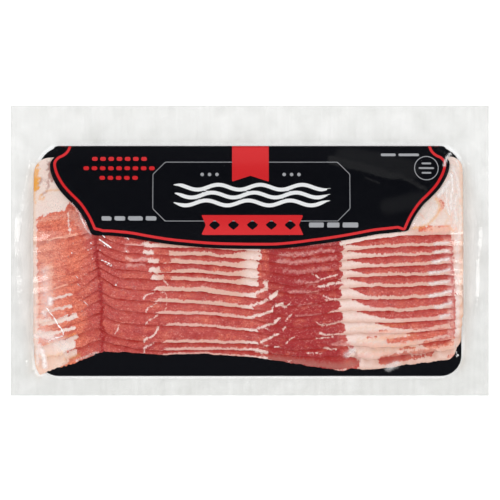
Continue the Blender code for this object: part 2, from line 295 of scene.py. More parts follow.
@dataclass(frozen=True)
class Shingle:
    """The stack of slices: where their edges lie and how high each one runs.

    The stack is worked out along one line, the station. A slice's front edge keeps one
    station, and the table of fronts says at which Y that edge runs across the pack.
    """

    first_edge: float = -62.9
    pitches: tuple = (2.8, 4.3, 9.6, 7.2, 7.2, 7.8, 5.9, 5.0, 5.9, 4.7, 4.3, 4.3)
    widths: tuple = (47.0, 49.0)
    thickness: float = 2.42
    gap: float = 0.1
    base: float = 1.45
    ends: tuple = (-131.6, 129.7)
    straight: float = 70.0

    @property
    def count(self) -> int:
        """How many slices there are."""
        return len(self.pitches) + 1

    @property
    def edges(self) -> Array:
        """Each slice's front edge, as a station."""
        return self.first_edge + np.concatenate([[0], np.cumsum(self.pitches)])

    @property
    def tails(self) -> Array:
        """Each slice's back edge, as a station."""
        return self.edges + np.linspace(*self.widths, self.count)

    @property
    def lattice(self) -> Array:
        """The stations at which heights are worked out."""
        return np.arange(-82.0, 82.01, 0.5)

    def loft(self, x: Array) -> Array:
        """Return how high the stack stands across the pack: lower at its ends and crease."""
        shape = eased(x, (-134, -122, -108, 106, 120, 134), (0.56, 0.85, 0.98, 0.98, 0.9, 0.56), 6)
        crease = np.exp(-(((x + 91.5) / 2.4) ** 2))
        return shape - 0.07 * crease

    def bent(self, x: Array, station: Array) -> Array:
        """Return the Y of stations: each edge's own Y, shared out between two edges.

        Behind the last edge the bend dies away by the station called straight.
        """
        x, station = np.broadcast_arrays(x, station)
        edges = self.edges
        shifts = np.array([eased(x[:, 0], ACROSS, row, 1.3) for row in FRONTS]) - edges[:, None]
        at = np.clip(np.interp(station, edges, np.arange(self.count)), 0, self.count - 1.001)
        low = at.astype(int)
        column = np.arange(x.shape[0])[:, None]
        shift = shifts[low, column] * (1 - at + low) + shifts[low + 1, column] * (at - low)
        return station + shift * np.clip((self.straight - station) / (self.straight - edges[-1]), 0, 1)

    def station(self, x: Array, y: Array) -> Array:
        """Return the station at places of the face, found by repeated correction."""
        x, y = np.broadcast_arrays(x, y)
        found = y.copy()
        for _ in range(24):
            found = found + 0.7 * (y - self.bent(x, found))
        return found

    def thickness_at(self, index: int, station: Array) -> Array:
        """Return a slice's thickness: less at its pressed front edge and at its tail."""
        front = 0.62 + 0.38 * (station - self.edges[index]) / 7
        tail = 0.3 + 0.7 * (self.tails[index] - station) / 14
        return self.thickness * np.clip(np.minimum(front, tail), 0.3, 1)

    def undersides(self) -> list[Array]:
        """Return each slice's underside along the lattice.

        A slice lies on the one before and, past that one's tail, on those further down. It
        spans their steps: its underside is the higher of what lies below and its blur.
        """
        level = np.zeros(len(self.lattice))
        found = []
        for index in range(self.count):
            under = np.maximum(level, blurred(level, 8, 4.0))
            found.append(under)
            covered = (self.lattice > self.edges[index] - 1) & (self.lattice < self.tails[index] + 0.5)
            top = under + self.thickness_at(index, self.lattice) + self.gap
            level = np.where(covered, top, level)
        return found

    def top(self) -> Array:
        """Return the whole stack's top along the lattice, less than 0 where nothing lies."""
        highest = np.full(len(self.lattice), -1.0)
        for index, under in enumerate(self.undersides()):
            covered = (self.lattice > self.edges[index] - 1) & (self.lattice < self.tails[index] + 1)
            top = under + self.thickness_at(index, self.lattice)
            highest = np.where(covered, np.maximum(highest, top), highest)
        return highest

    def end_of(self, index: int) -> tuple[float, float]:
        """Return the X of a slice's two ends, staggered a little as laid by hand."""
        short = max(0.0, 3.4 - 2.6 * index)
        left = self.ends[0] + 0.4 * math.sin(2.4 * index)
        return left, self.ends[1] + 0.55 * math.sin(1.7 * index + 1) - short


# ---------------------------------------------------------------- marks on meat and film


class Tone(enum.Enum):
    """What a painted mark does to the surface under it."""

    FAT = "fat"
    LEAN = "lean"
    PALE = "pale"
    WARM = "warm"
    # deeper red lean, and painted shade along the crease
    DEEP = "deep"
    # brown veins and lines, and painted shade along the front slice's edge
    BROWN_AND_SHADE = "stain"
    GOLD = "gold"
    # painted shade: the crease and the line beside each slice's front edge
    SEAM = "seam"
    GLINT = "glint"
    # painted highlight on the film, partly milky haze
    HAZE_AND_HIGHLIGHT = "frost"
    SHEEN = "sheen"


@dataclass(frozen=True)
class Mark:
    """A painted mark: a line of some width, in a tone and at a strength."""

    tone: Tone
    width: float
    strength: float
    line: Array


def marks(*groups: tuple) -> list[Mark]:
    """Return marks from groups, each of a tone and its rows.

    Args:
        groups: Pairs of a tone and rows. A row holds the width, the strength, and then X
            and Y of each point of the line.

    Returns:
        The marks, in the same order. Fat and lean are laid in that order, one over the other.
    """
    return [
        Mark(tone, row[0], row[1], np.reshape(row[2:], (-1, 2)).astype(float))
        for tone, rows in groups
        for row in rows
    ]


MEAT_MARKS = marks(
    # left end: stripes across the slices
    (Tone.FAT, (
        (1.7, 1, -119.5, -29.5, -114.5, -28, -109, -26.5),
        (2, 1, -124, -37, -117, -35.5, -109, -33.5),
        (3.4, 1, -130.5, -43, -124, -43, -118, -43, -112.5, -41.5, -106.5, -39.5),
        (2.2, 1, -130.5, -49, -122, -50.5, -115.5, -49.5, -111, -48, -107, -47),
        (4.6, 1, -130.5, -50.5, -125.5, -51.5, -120.5, -51),
        (2.6, 1, -130.5, -43.5, -126, -44.5, -121, -44),
        (0.9, 1, -106, -67, -101, -65, -96, -63, -92.5, -62),
        (4.8, 1, -129.5, -60.5, -123.5, -59.5, -116, -57),
        (3, 1, -116, -57, -110.5, -54.5, -106, -52.5), (7, 1, -127, -62, -116.5, -60, -109.5, -57.5),
        (0.9, 0.6, -119, -23, -114.5, -21.5, -111, -20.5),
        (0.7, 0.5, -121, -16, -117, -15.5, -112.5, -15),
        (1, 0.8, -130.5, 4.5, -123.5, 6, -118.5, 7.5, -114, 8.5),
        (4.2, 1, -132, 55.5, -131.5, 0.5, -131, -18, -130.5, -30, -131, -42.5, -130.5, -60.5,
         -129.5, -73), (12, 1, -127, -70.5, -121, -68, -116, -64.5), (6, 1, -116, -65, -108.5, -62),
    )),
    (Tone.LEAN, (
        (1.4, 1, -120.5, -55, -118, -54, -114, -52.5, -110, -51.5, -105, -50),
        (1, 1, -111.5, -61.5, -107, -60), (1.8, 1, -122.5, -48, -118, -47),
    )),
    (Tone.BROWN_AND_SHADE, (
        (1.6, 0.55, -104, -66.5, -99, -64.5, -94, -62.5),
        (1, 0.6, -112.5, -66.5, -108, -65, -103.5, -63.5),
        (0.8, 0.5, -114, -69, -110, -67.5, -107, -66),
    )),
    (Tone.GOLD, (
        (1.1, 0.3, -123.5, -57, -118.5, -55.5, -112.5, -53, -107, -51),
        (2.6, 0.3, -124, -65, -118.5, -64.5, -114.5, -63.5),
        (1.6, 0.4, -113, -66, -108.5, -65, -104.5, -63.5),
    )),
    (Tone.WARM, (
        (1, 0.7, -114.5, -62, -110.5, -60.5, -107, -59),
    )),
    (Tone.PALE, (
        (2.4, 0.5, -130.5, 4.5, -123.5, 6, -114, 8.5, -106, 9.5),
        (6, 0.7, -122.5, -10.5, -123, -21, -122, -28.5, -122.5, -34),
        (5, 0.65, -127.5, -22, -127.5, -34, -128, -40),
        (2.4, 0.6, -121, -25, -124, -29.5, -125, -36),
    )),
    # top slice, left: lean band, fat with veins, rind
    (Tone.FAT, (
        (0.8, 1, -110.5, 23, -110, 16.5, -109.5, 12), (1.5, 1, -109.5, 12.5, -109.5, 11),
    )),
    (Tone.DEEP, (
        (9, 0.4, -109, 25, -103, 18, -98, 12),
        (0.8, 0.6, -132, 14, -125, 14.5, -118.5, 15, -111.5, 15.5),
    )),
    (Tone.PALE, (
        (5, 0.3, -108, 22, -102, 16, -99, 10), (2.2, 0.35, -129.5, 18, -122, 19.5, -112.5, 21),
    )),
    (Tone.BROWN_AND_SHADE, (
        (4.2, 0.75, -121.5, 53, -121, 48, -120, 44),
        (1.3, 0.6, -121.5, 47, -123, 43, -122.5, 39, -124, 36, -126, 33.5),
        (1.6, 0.6, -126.5, 44, -129, 40, -130.5, 36.5), (1, 0.5, -124.5, 42.5, -122.5, 41),
        (3.4, 0.5, -131, 43, -131, 38.5),
    )),
    (Tone.GOLD, (
        (0.9, 0.5, -124, 36.5, -119.5, 37, -114.5, 37),
        (1.1, 0.55, -127.5, 34, -125.5, 33, -126, 31, -128, 31.5, -127.5, 34),
        (6.4, 0.8, -132, 53, -132, 47.5, -131.5, 43), (4.4, 1, -131, 42.5, -131, 38.5),
        (2.4, 0.5, -131.5, 38.5, -131.5, 30.5), (1, 0.5, -132.5, 50.5, -130, 55.5, -126.5, 57),
    )),
    # the crease across all slices: painted shade in its fold and beside the slice edges there
    (Tone.SEAM, (
        (1.3, 0.75, -93.5, 8.5, -93.5, 2, -93, -5.5, -91.5, -14, -91, -20),
        (1.1, 0.6, -91, -20, -91, -26.5, -90, -32), (1.6, 0.8, -90, -32, -90, -37.5, -90.5, -45.5),
        (1.2, 0.8, -90.5, -45.5, -88.5, -48.5, -88, -52, -90, -56, -90.5, -61),
        (0.8, 0.5, -96.5, 3.5, -94.5, 2), (0.8, 0.5, -92.5, -4.5, -88.5, -7.5, -84, -10),
    )),
    (Tone.DEEP, (
        (2.6, 1, -93.5, 6.5, -93.5, -2.5, -92, -13, -90.5, -19, -91, -26.5, -90, -32, -90, -37.5,
         -90.5, -45.5, -90, -51.5, -90.5, -61),
    )),
    # middle: fat beside the warm patches, veins
    (Tone.LEAN, (
        (4.4, 1, -56.5, -0.5, -51, -1), (4.2, 1, -54.5, -6, -50, -6),
        (3.6, 1, -53.5, -11.5, -49.5, -11.5), (3.2, 1, -51, -16.5, -49, -16.5),
    )),
    (Tone.FAT, (
        (3.2, 1, -63.5, 4, -61.5, 4), (3, 1, -63.5, -1, -60, -1), (2.8, 1, -61, -6, -56.5, -6),
        (3.2, 1, -60, -11.5, -56, -11.5), (2.8, 1, -58.5, -16, -53.5, -16),
        (0.7, 1, -56.5, -23.5, -58.5, -25.5, -62, -26.5, -64, -28, -64.5, -29.5),
        (0.8, 1, -57, -32, -59.5, -33.5, -62, -34.5, -63, -37),
        (0.9, 1, -55.5, -38.5, -58.5, -41, -62, -42.5, -63.5, -45),
        (1.1, 1, -55.5, -46, -57, -49.5, -59.5, -52, -64, -54, -64, -55.5),
        (1, 1, -59, -56.5, -62, -58, -64.5, -59.5, -64, -61, -65, -63),
        (0.5, 1, -79.5, -44.5, -80.5, -48, -82, -50.5), (0.8, 1, -57.5, -13, -54, -15.5, -50, -21),
        (0.45, 1, -54, -25, -51.5, -25.5, -50.5, -27.5, -51, -30),
        (0.4, 1, -50.5, -32, -51, -34.5, -51.5, -37),
    )),
    (Tone.WARM, (
        (4.4, 0.5, -57.5, -1, -50.5, -1), (4.2, 0.5, -55, -6.5, -49.5, -6.5),
        (3.6, 0.5, -53.5, -12, -49.5, -12), (3.2, 0.5, -51, -16.5, -48.5, -16.5),
    )),
    (Tone.PALE, (
        (1.2, 0.8, -75.5, 3.5, -70, 3.5, -64.5, 3.5), (1.2, 0.8, -75.5, 0, -74.5, 0),
        (1.9, 0.75, -75, -4.5, -71.5, -6, -66.5, -5.5, -62, -5),
        (1.8, 0.5, -75, -9, -70, -8.5, -65, -8), (1.2, 0.6, -75.5, 8, -74.5, 6.5),
        (1.4, 0.6, -75.5, 1.5, -74.5, -0.5),
    )),
    # right ends of the middle stripes and the warm patches past them
    (Tone.FAT, (
        (1.9, 1, 1, -27, 5.5, -25, 10.5, -23), (1.8, 1, -0.5, -34, 5, -32, 11, -30),
        (1.7, 1, -0.5, -40.5, 6.5, -39, 13.5, -36.5),
        (1.4, 1, 4.5, -47.5, 10, -45.5, 15, -44, 17.5, -41.5),
        (1.4, 1, 7, -55.5, 12.5, -53, 17.5, -50.5), (2.2, 1, 4.5, -61, 10, -62),
        (1.8, 1, 7.5, -65, 10.5, -66), (1, 1, 6, 0, 7, -2.5, 6, -5.5), (2.4, 1, 9.5, -19, 10, -21),
        (3.2, 1, 13, -28, 16, -26), (1.8, 1, 16.5, -33.5, 19.5, -32, 20.5, -34),
        (0.6, 1, 13.5, -35, 16, -32), (0.7, 1, 21, -35, 25, -31.5),
        (0.8, 1, 22, -43, 23.5, -40.5, 26, -38.5), (1.2, 1, 20.5, -48, 21.5, -46.5),
        (0.6, 1, 22, -56.5, 24.5, -54, 27, -52.5), (1, 1, 8.5, -57.5, 10.5, -58),
        (0.9, 1, 15.5, -58.5, 18, -58.5), (1, 1, 9.5, -47, 11, -48),
    )),
    (Tone.WARM, (
        (5, 0.6, 10, -1, 11, -7, 13, -12), (5.5, 0.6, 13.5, -17.5, 18, -26),
        (2, 0.6, 6, -1, 6.5, -15),
    )),
    # dark lean right of the middle: pale streaks that are painted highlights along the slice edges, and
    # fine fat
    (Tone.FAT, (
        (0.8, 1, 38, -14, 41, -15.5, 43, -17.5, 48.5, -16, 53.5, -14.5),
        (1.5, 1, 42.5, -21.5, 46.5, -21.5, 49, -20, 56, -19.5),
        (0.7, 1, 45, -27.5, 48.5, -29, 52.5, -30), (1, 1, 46.5, -30, 52.5, -29.5, 59, -29.5),
        (0.9, 1, 48.5, -37.5, 52, -36.5, 56.5, -35.5), (0.7, 1, 40.5, -43.5, 43, -45, 47, -45.5),
        (1, 1, 44, -45.5, 51, -44.5, 57.5, -42.5),
        (1.1, 1, 42.5, -50, 46.5, -51.5, 51.5, -51, 57.5, -50.5),
        (0.6, 1, 40.5, -53.5, 46, -53, 50.5, -52.5), (1.2, 1, 45.5, -59, 49, -60, 52.5, -60),
        (0.6, 1, 35, -62.5, 40.5, -62.5, 44, -62.5), (1.5, 1, 8.5, -65.5, 13, -67),
        (1, 1, 23.5, -67.5, 25, -67),
    )),
    (Tone.PALE, (
        (1.9, 0.5, 18, -3, 25, -2.5, 33, -1.5), (1.5, 0.5, 33, -1.5, 41.5, 0, 51, 0),
        (2.4, 0.5, 17.5, -6.5, 25, -7, 34.5, -6), (1.9, 0.45, 34.5, -6, 44, -5.5, 52, -4),
        (2, 0.35, 21, -12, 30.5, -13, 48, -10.5), (1.6, 0.4, 28.5, -19, 37, -19.5, 41.5, -18.5),
        (1.6, 0.45, 24.5, -25, 32.5, -25, 41.5, -25.5), (1.4, 0.4, 30, -33.5, 37, -33, 42.5, -33),
        (1, 0.35, 28.5, -39.5, 38, -39, 43, -38.5), (1.2, 0.5, 37, 4, 44, 4.5, 50.5, 5.5),
        (2.2, 0.6, 35, -20.5, 38, -19.5, 41, -19.5), (3, 0.45, 52, -57.5, 56.5, -56.5, 60.5, -57.5),
    )),
    # lower right: lean patches in broad fat
    (Tone.FAT, (
        (1.1, 1, 30.5, -70.5, 37, -72.5, 49, -73.5, 59, -72.5),
    )),
    (Tone.LEAN, (
        (4.8, 1, 81, -67, 89.5, -65.5, 98, -64, 105, -62.5, 112, -62),
    )),
    (Tone.FAT, (
        (0.9, 1, 98, -62.5, 99.5, -64.5),
    )),
    (Tone.LEAN, (
        (1.6, 1, 121.5, -64.5, 124, -64), (1.1, 1, 86.5, -56, 90.5, -55.5, 95, -56),
        (3.8, 1, 101.5, -52.5, 110, -50.5, 118.5, -48.5),
        (2.4, 1, 106.5, -56.5, 114, -55, 122.5, -53.5), (1.3, 1, 79.5, -49, 83, -48.5),
        (1.2, 1, 92, -60, 96.5, -59, 100.5, -59.5),
        (2.8, 1, 84.5, -55, 93, -54, 101.5, -53, 110, -51),
    )),
    (Tone.FAT, (
        (0.8, 1, 98.5, -63.5, 104, -63.5, 109, -62.5),
    )),
    (Tone.LEAN, (
        (0.9, 1, 72, -53, 77, -52.5), (0.8, 1, 100, -48, 105.5, -47, 108.5, -47.5),
        (1, 1, 112.5, -60, 117, -58.5), (1.2, 1, 107.5, -62.5, 110.5, -62),
        (1.4, 1, 59.5, -57.5, 63, -59),
    )),
    # the first two brown bands are painted shade along the front slice's edge; the others are brown
    # lean
    (Tone.BROWN_AND_SHADE, (
        (4, 0.6, 13.5, -65.5, 22, -66, 30.5, -67.5, 41.5, -69),
        (4, 0.65, 44, -69, 51.5, -70.5, 61.5, -69, 65.5, -67),
        (4.2, 0.55, 81, -67, 89.5, -65.5, 98, -63.5, 112, -62),
        (1.6, 0.5, 60.5, -59.5, 64.5, -62, 65, -65),
    )),
    (Tone.WARM, (
        (4, 0.6, 84.5, -59, 92, -57.5, 99, -57), (4, 0.5, 101.5, -52.5, 110, -51, 120, -48.5),
        (2, 0.8, 79.5, -49, 84.5, -48.5), (2.6, 0.5, 84.5, -55, 93, -54, 101.5, -53),
    )),
    (Tone.PALE, (
        (3.4, 0.55, 70.5, -57.5, 80, -58.5, 92, -58, 104, -56.5),
        (2.2, 0.7, 73, -50.5, 80, -50, 88, -49), (2.6, 0.5, 66.5, -64.5, 74, -63.5, 84, -62.5),
        (3, 0.6, 80, -52.5, 88, -52, 96, -50.5), (2.6, 0.5, 98, -61.5, 108, -60, 118, -58.5),
    )),
    (Tone.GOLD, (
        (1.8, 0.16, 62, -47.5, 80, -46, 96, -44), (2.2, 0.18, 66, -55, 85, -53, 100, -50.5),
        (2, 0.18, 66, -61.5, 84, -60, 100, -58),
    )),
    # top slice, right: pale fold, warm rim, pink band
    (Tone.LEAN, (
        (3, 1, 104, 13, 109.5, 14), (1.6, 1, 106.5, 13, 110.5, 12.5),
        (0.8, 1, 113, 15, 117.5, 14.5, 121.5, 15), (1.6, 1, 116, 30.5, 117.5, 28.5, 117, 26),
    )),
    (Tone.FAT, (
        (2.2, 1, 127, 11.5, 126.5, -5.5, 127, -24, 127, -42.5, 126.5, -56.5),
        (5.5, 1, 114, -63.5, 120, -60.5, 125.5, -60.5), (5, 1, 84.5, -72.5, 89.5, -70),
    )),
    (Tone.PALE, (
        (1.6, 0.8, 114, 33, 116.5, 29.5, 117, 26, 116, 22.5),
        (3.4, 0.7, 109, 12.5, 116, 13, 124, 13.5), (1, 0.6, 103.5, 22.5, 106, 19.5),
        (1.6, 0.5, 117.5, 33.5, 120, 30.5, 121.5, 27),
        (2.4, 0.4, 122.5, 22, 123.5, 16.5, 125.5, 11.5), (3.4, 0.4, 118, 11.5, 120, 3, 120, -7),
    )),
    (Tone.GOLD, (
        (1.5, 0.5, 113, 32, 115, 28.5, 115, 23.5, 112, 19.5, 107.5, 15.5, 103, 14, 98.5, 13.5),
        (1.4, 0.22, 118.5, 25, 121.5, 20.5, 119, 16.5, 123.5, 12),
    )),
    (Tone.WARM, (
        (1.2, 1, 113, 32, 115, 28.5, 115, 23.5, 112, 19.5, 107.5, 15.5),
    )),
)  # fmt: skip
# painted highlights on the film: glint lines, white streaks that are partly milky haze, and a painted
# reflection (sheen) over the flap
FILM_MARKS = marks(
    (Tone.GLINT, (
        (0.75, 1, -123.5, -35, -121, -38.5, -119, -41, -117, -45, -114.5, -48, -113.5, -50.5,
         -114, -52, -117.5, -53, -121, -54, -122.5, -55.5), (0.8, 1, -91.5, 7, -88, 4.5, -84.5, 2),
        (0.45, 1, -88.5, 3, -85, 1), (0.5, 1, -89.5, 9.5, -88, 8),
        (0.6, 1, -90.5, -5.5, -87, -7, -84, -8.5), (0.5, 1, -87, -8.5, -84, -9.5),
        (0.5, 1, -91.5, 0.5, -90.5, 0), (0.45, 1, -91, -10.5, -89, -11),
        (0.8, 1, -81.5, -21, -80.5, -19.5), (0.5, 1, -82.5, -34, -80.5, -33.5),
        (0.6, 1, -74.5, 8, -73.5, 6.5), (0.9, 1, -75, 0, -75, -0.5), (0.5, 1, -97, 5, -96, 4),
        (0.5, 1, -98.5, 0.5, -96, 1.5), (0.5, 1, -96, -4.5, -95, -5.5),
        (0.4, 1, -95, -7.5, -94, -9, -95, -11), (0.35, 1, -96, -13.5, -95, -15, -95.5, -16),
        (0.4, 1, -106, -15, -104, -17), (0.4, 1, -105, -20, -103.5, -21.5, -102.5, -22.5),
        (0.7, 1, -108.5, -1, -108, -1.5), (0.4, 1, -101.5, -30.5, -99.5, -32, -98, -33.5),
        (0.6, 1, -98.5, -58.5, -98, -58.5), (0.5, 1, -107.5, 5, -107.5, 4),
        (0.5, 1, -97, -21, -96, -20.5), (0.5, 1, -101, -28.5, -100.5, -29),
        (0.55, 1, 126.5, -60.5, 126.5, -62.5, 127.5, -64.5), (0.5, 1, 125.5, -57, 126, -65),
        (0.5, 1, 121, 58, 122, 59.5, 123.5, 58.5), (0.5, 1, 125.5, 56, 127, 53.5, 128, 50.5),
    )),
    (Tone.HAZE_AND_HIGHLIGHT, (
        (9, 0.26, -125, -12, -124, -26, -124.5, -40), (13, 0.34, -127, -51, -113, -57),
        (3.4, 0.25, -131, 2, -131, -30, -130.5, -60), (6, 0.25, 106.5, 17, 110.5, 22, 113, 28),
        (4.4, 0.75, -121.5, -29, -121.5, -32), (2.6, 0.7, -125.5, -37.5, -125, -38.5),
        (3, 0.6, -131, -51.5, -130, -52.5), (3.6, 0.8, -127, -60.5, -125.5, -65.5, -125, -70.5),
        (3, 0.45, -128, -57, -129.5, -62, -129.5, -69),
        (2.4, 0.16, -124, -12.5, -123.5, -19, -122.5, -26.5), (4.5, 0.4, 59, -63.5, 63, -60.5),
        (5, 0.4, 84.5, -71.5, 89.5, -69), (1, 0.8, 122.5, 59.5, 120, 56.5, 118.5, 52),
        (3.4, 0.6, 121.5, 42, 118, 37.5, 115, 33.5),
        (11, 0.12, 124.5, 46, 123, 38, 121.5, 28, 124.5, 20),
        (1, 0.8, 123, 47, 123.5, 38, 122, 29, 122.5, 25),
        (0.8, 0.7, 120.5, 37, 119.5, 30, 121.5, 22), (0.8, 0.6, 126, 34, 124.5, 26, 126, 18),
        (2.6, 0.22, 126.5, 10, 126, -12, 126.5, -30, 126, -50),
        (2, 0.5, 124, 51, 126.5, 43, 128, 33), (1.8, 0.45, 128, 27, 128.5, 18, 127.5, 8),
        (1.5, 0.6, 112.5, 4, 121, 5), (1.4, 0.55, 112.5, -1, 121, 0),
        (2.2, 0.65, 111.5, -7, 116, -6, 121, -5), (2, 0.6, 109.5, -13.5, 115.5, -13, 121.5, -11.5),
        (1.8, 0.55, 109.5, -20, 115.5, -19.5, 121.5, -18.5),
        (2, 0.6, 109.5, -27.5, 116, -26.5, 122.5, -24.5),
        (2, 0.55, 113, -34.5, 118, -33.5, 122.5, -31.5), (2.2, 0.5, 116, -40.5, 121, -39),
        (2.4, 0.35, 123.5, 31, 125, 22.5, 124, 14),
        (0.8, 0.35, -96.5, 10, -99.5, 13.5, -102.5, 20, -103.5, 22.5),
    )),
    (Tone.SHEEN, (
        (5.2, 1, 50, 55.5, 55, 54, 70.5, 50.5, 82.5, 47), (4, 1, 76, 49.5, 86.5, 45.5, 92, 46),
        (2.4, 0.9, 90.5, 46, 98, 42.5, 107, 37.5), (0.7, 1.2, 70.5, 44.5, 74.5, 43, 79, 41),
        (12, 0.6, 58, 57, 84, 53, 98, 49), (9, 0.5, 84, 27, 94, 29, 103, 31.5),
    )),
)  # fmt: skip


def stroke(mark: Mark, x: Array, y: Array, ragged: float = 0.0) -> Array:
    """Return how far inside a mark each place lies, in millimetres, less than 0 outside.

    The mark's border is moved in and out by fine unevenness.

    Args:
        mark: The mark.
        x: Places along the pack, as a full grid.
        y: Places up the pack, of the same shape.
        ragged: How far the border moves.

    Returns:
        Half the width less the distance to the line, and the far value well away from it.
    """
    line, width = mark.line, mark.width
    reach = width / 2 + 2.5
    near = (x > line[:, 0].min() - reach) & (x < line[:, 0].max() + reach)
    near &= (y > line[:, 1].min() - reach) & (y < line[:, 1].max() + reach)
    inside = np.full(x.shape, -FAR_OUT)
    if near.any():
        at_x, at_y = x[near], y[near]
        uneven = ragged * min(width, 2.5) / 2.5
        wave = uneven * (swell(at_x, at_y, 3.2, 91) + 0.6 * swell(at_x, at_y, 1.3, 92))
        inside[near] = width / 2 - to_polyline(at_x, at_y, line) + wave
    return inside


# ---------------------------------------------------------------- slices


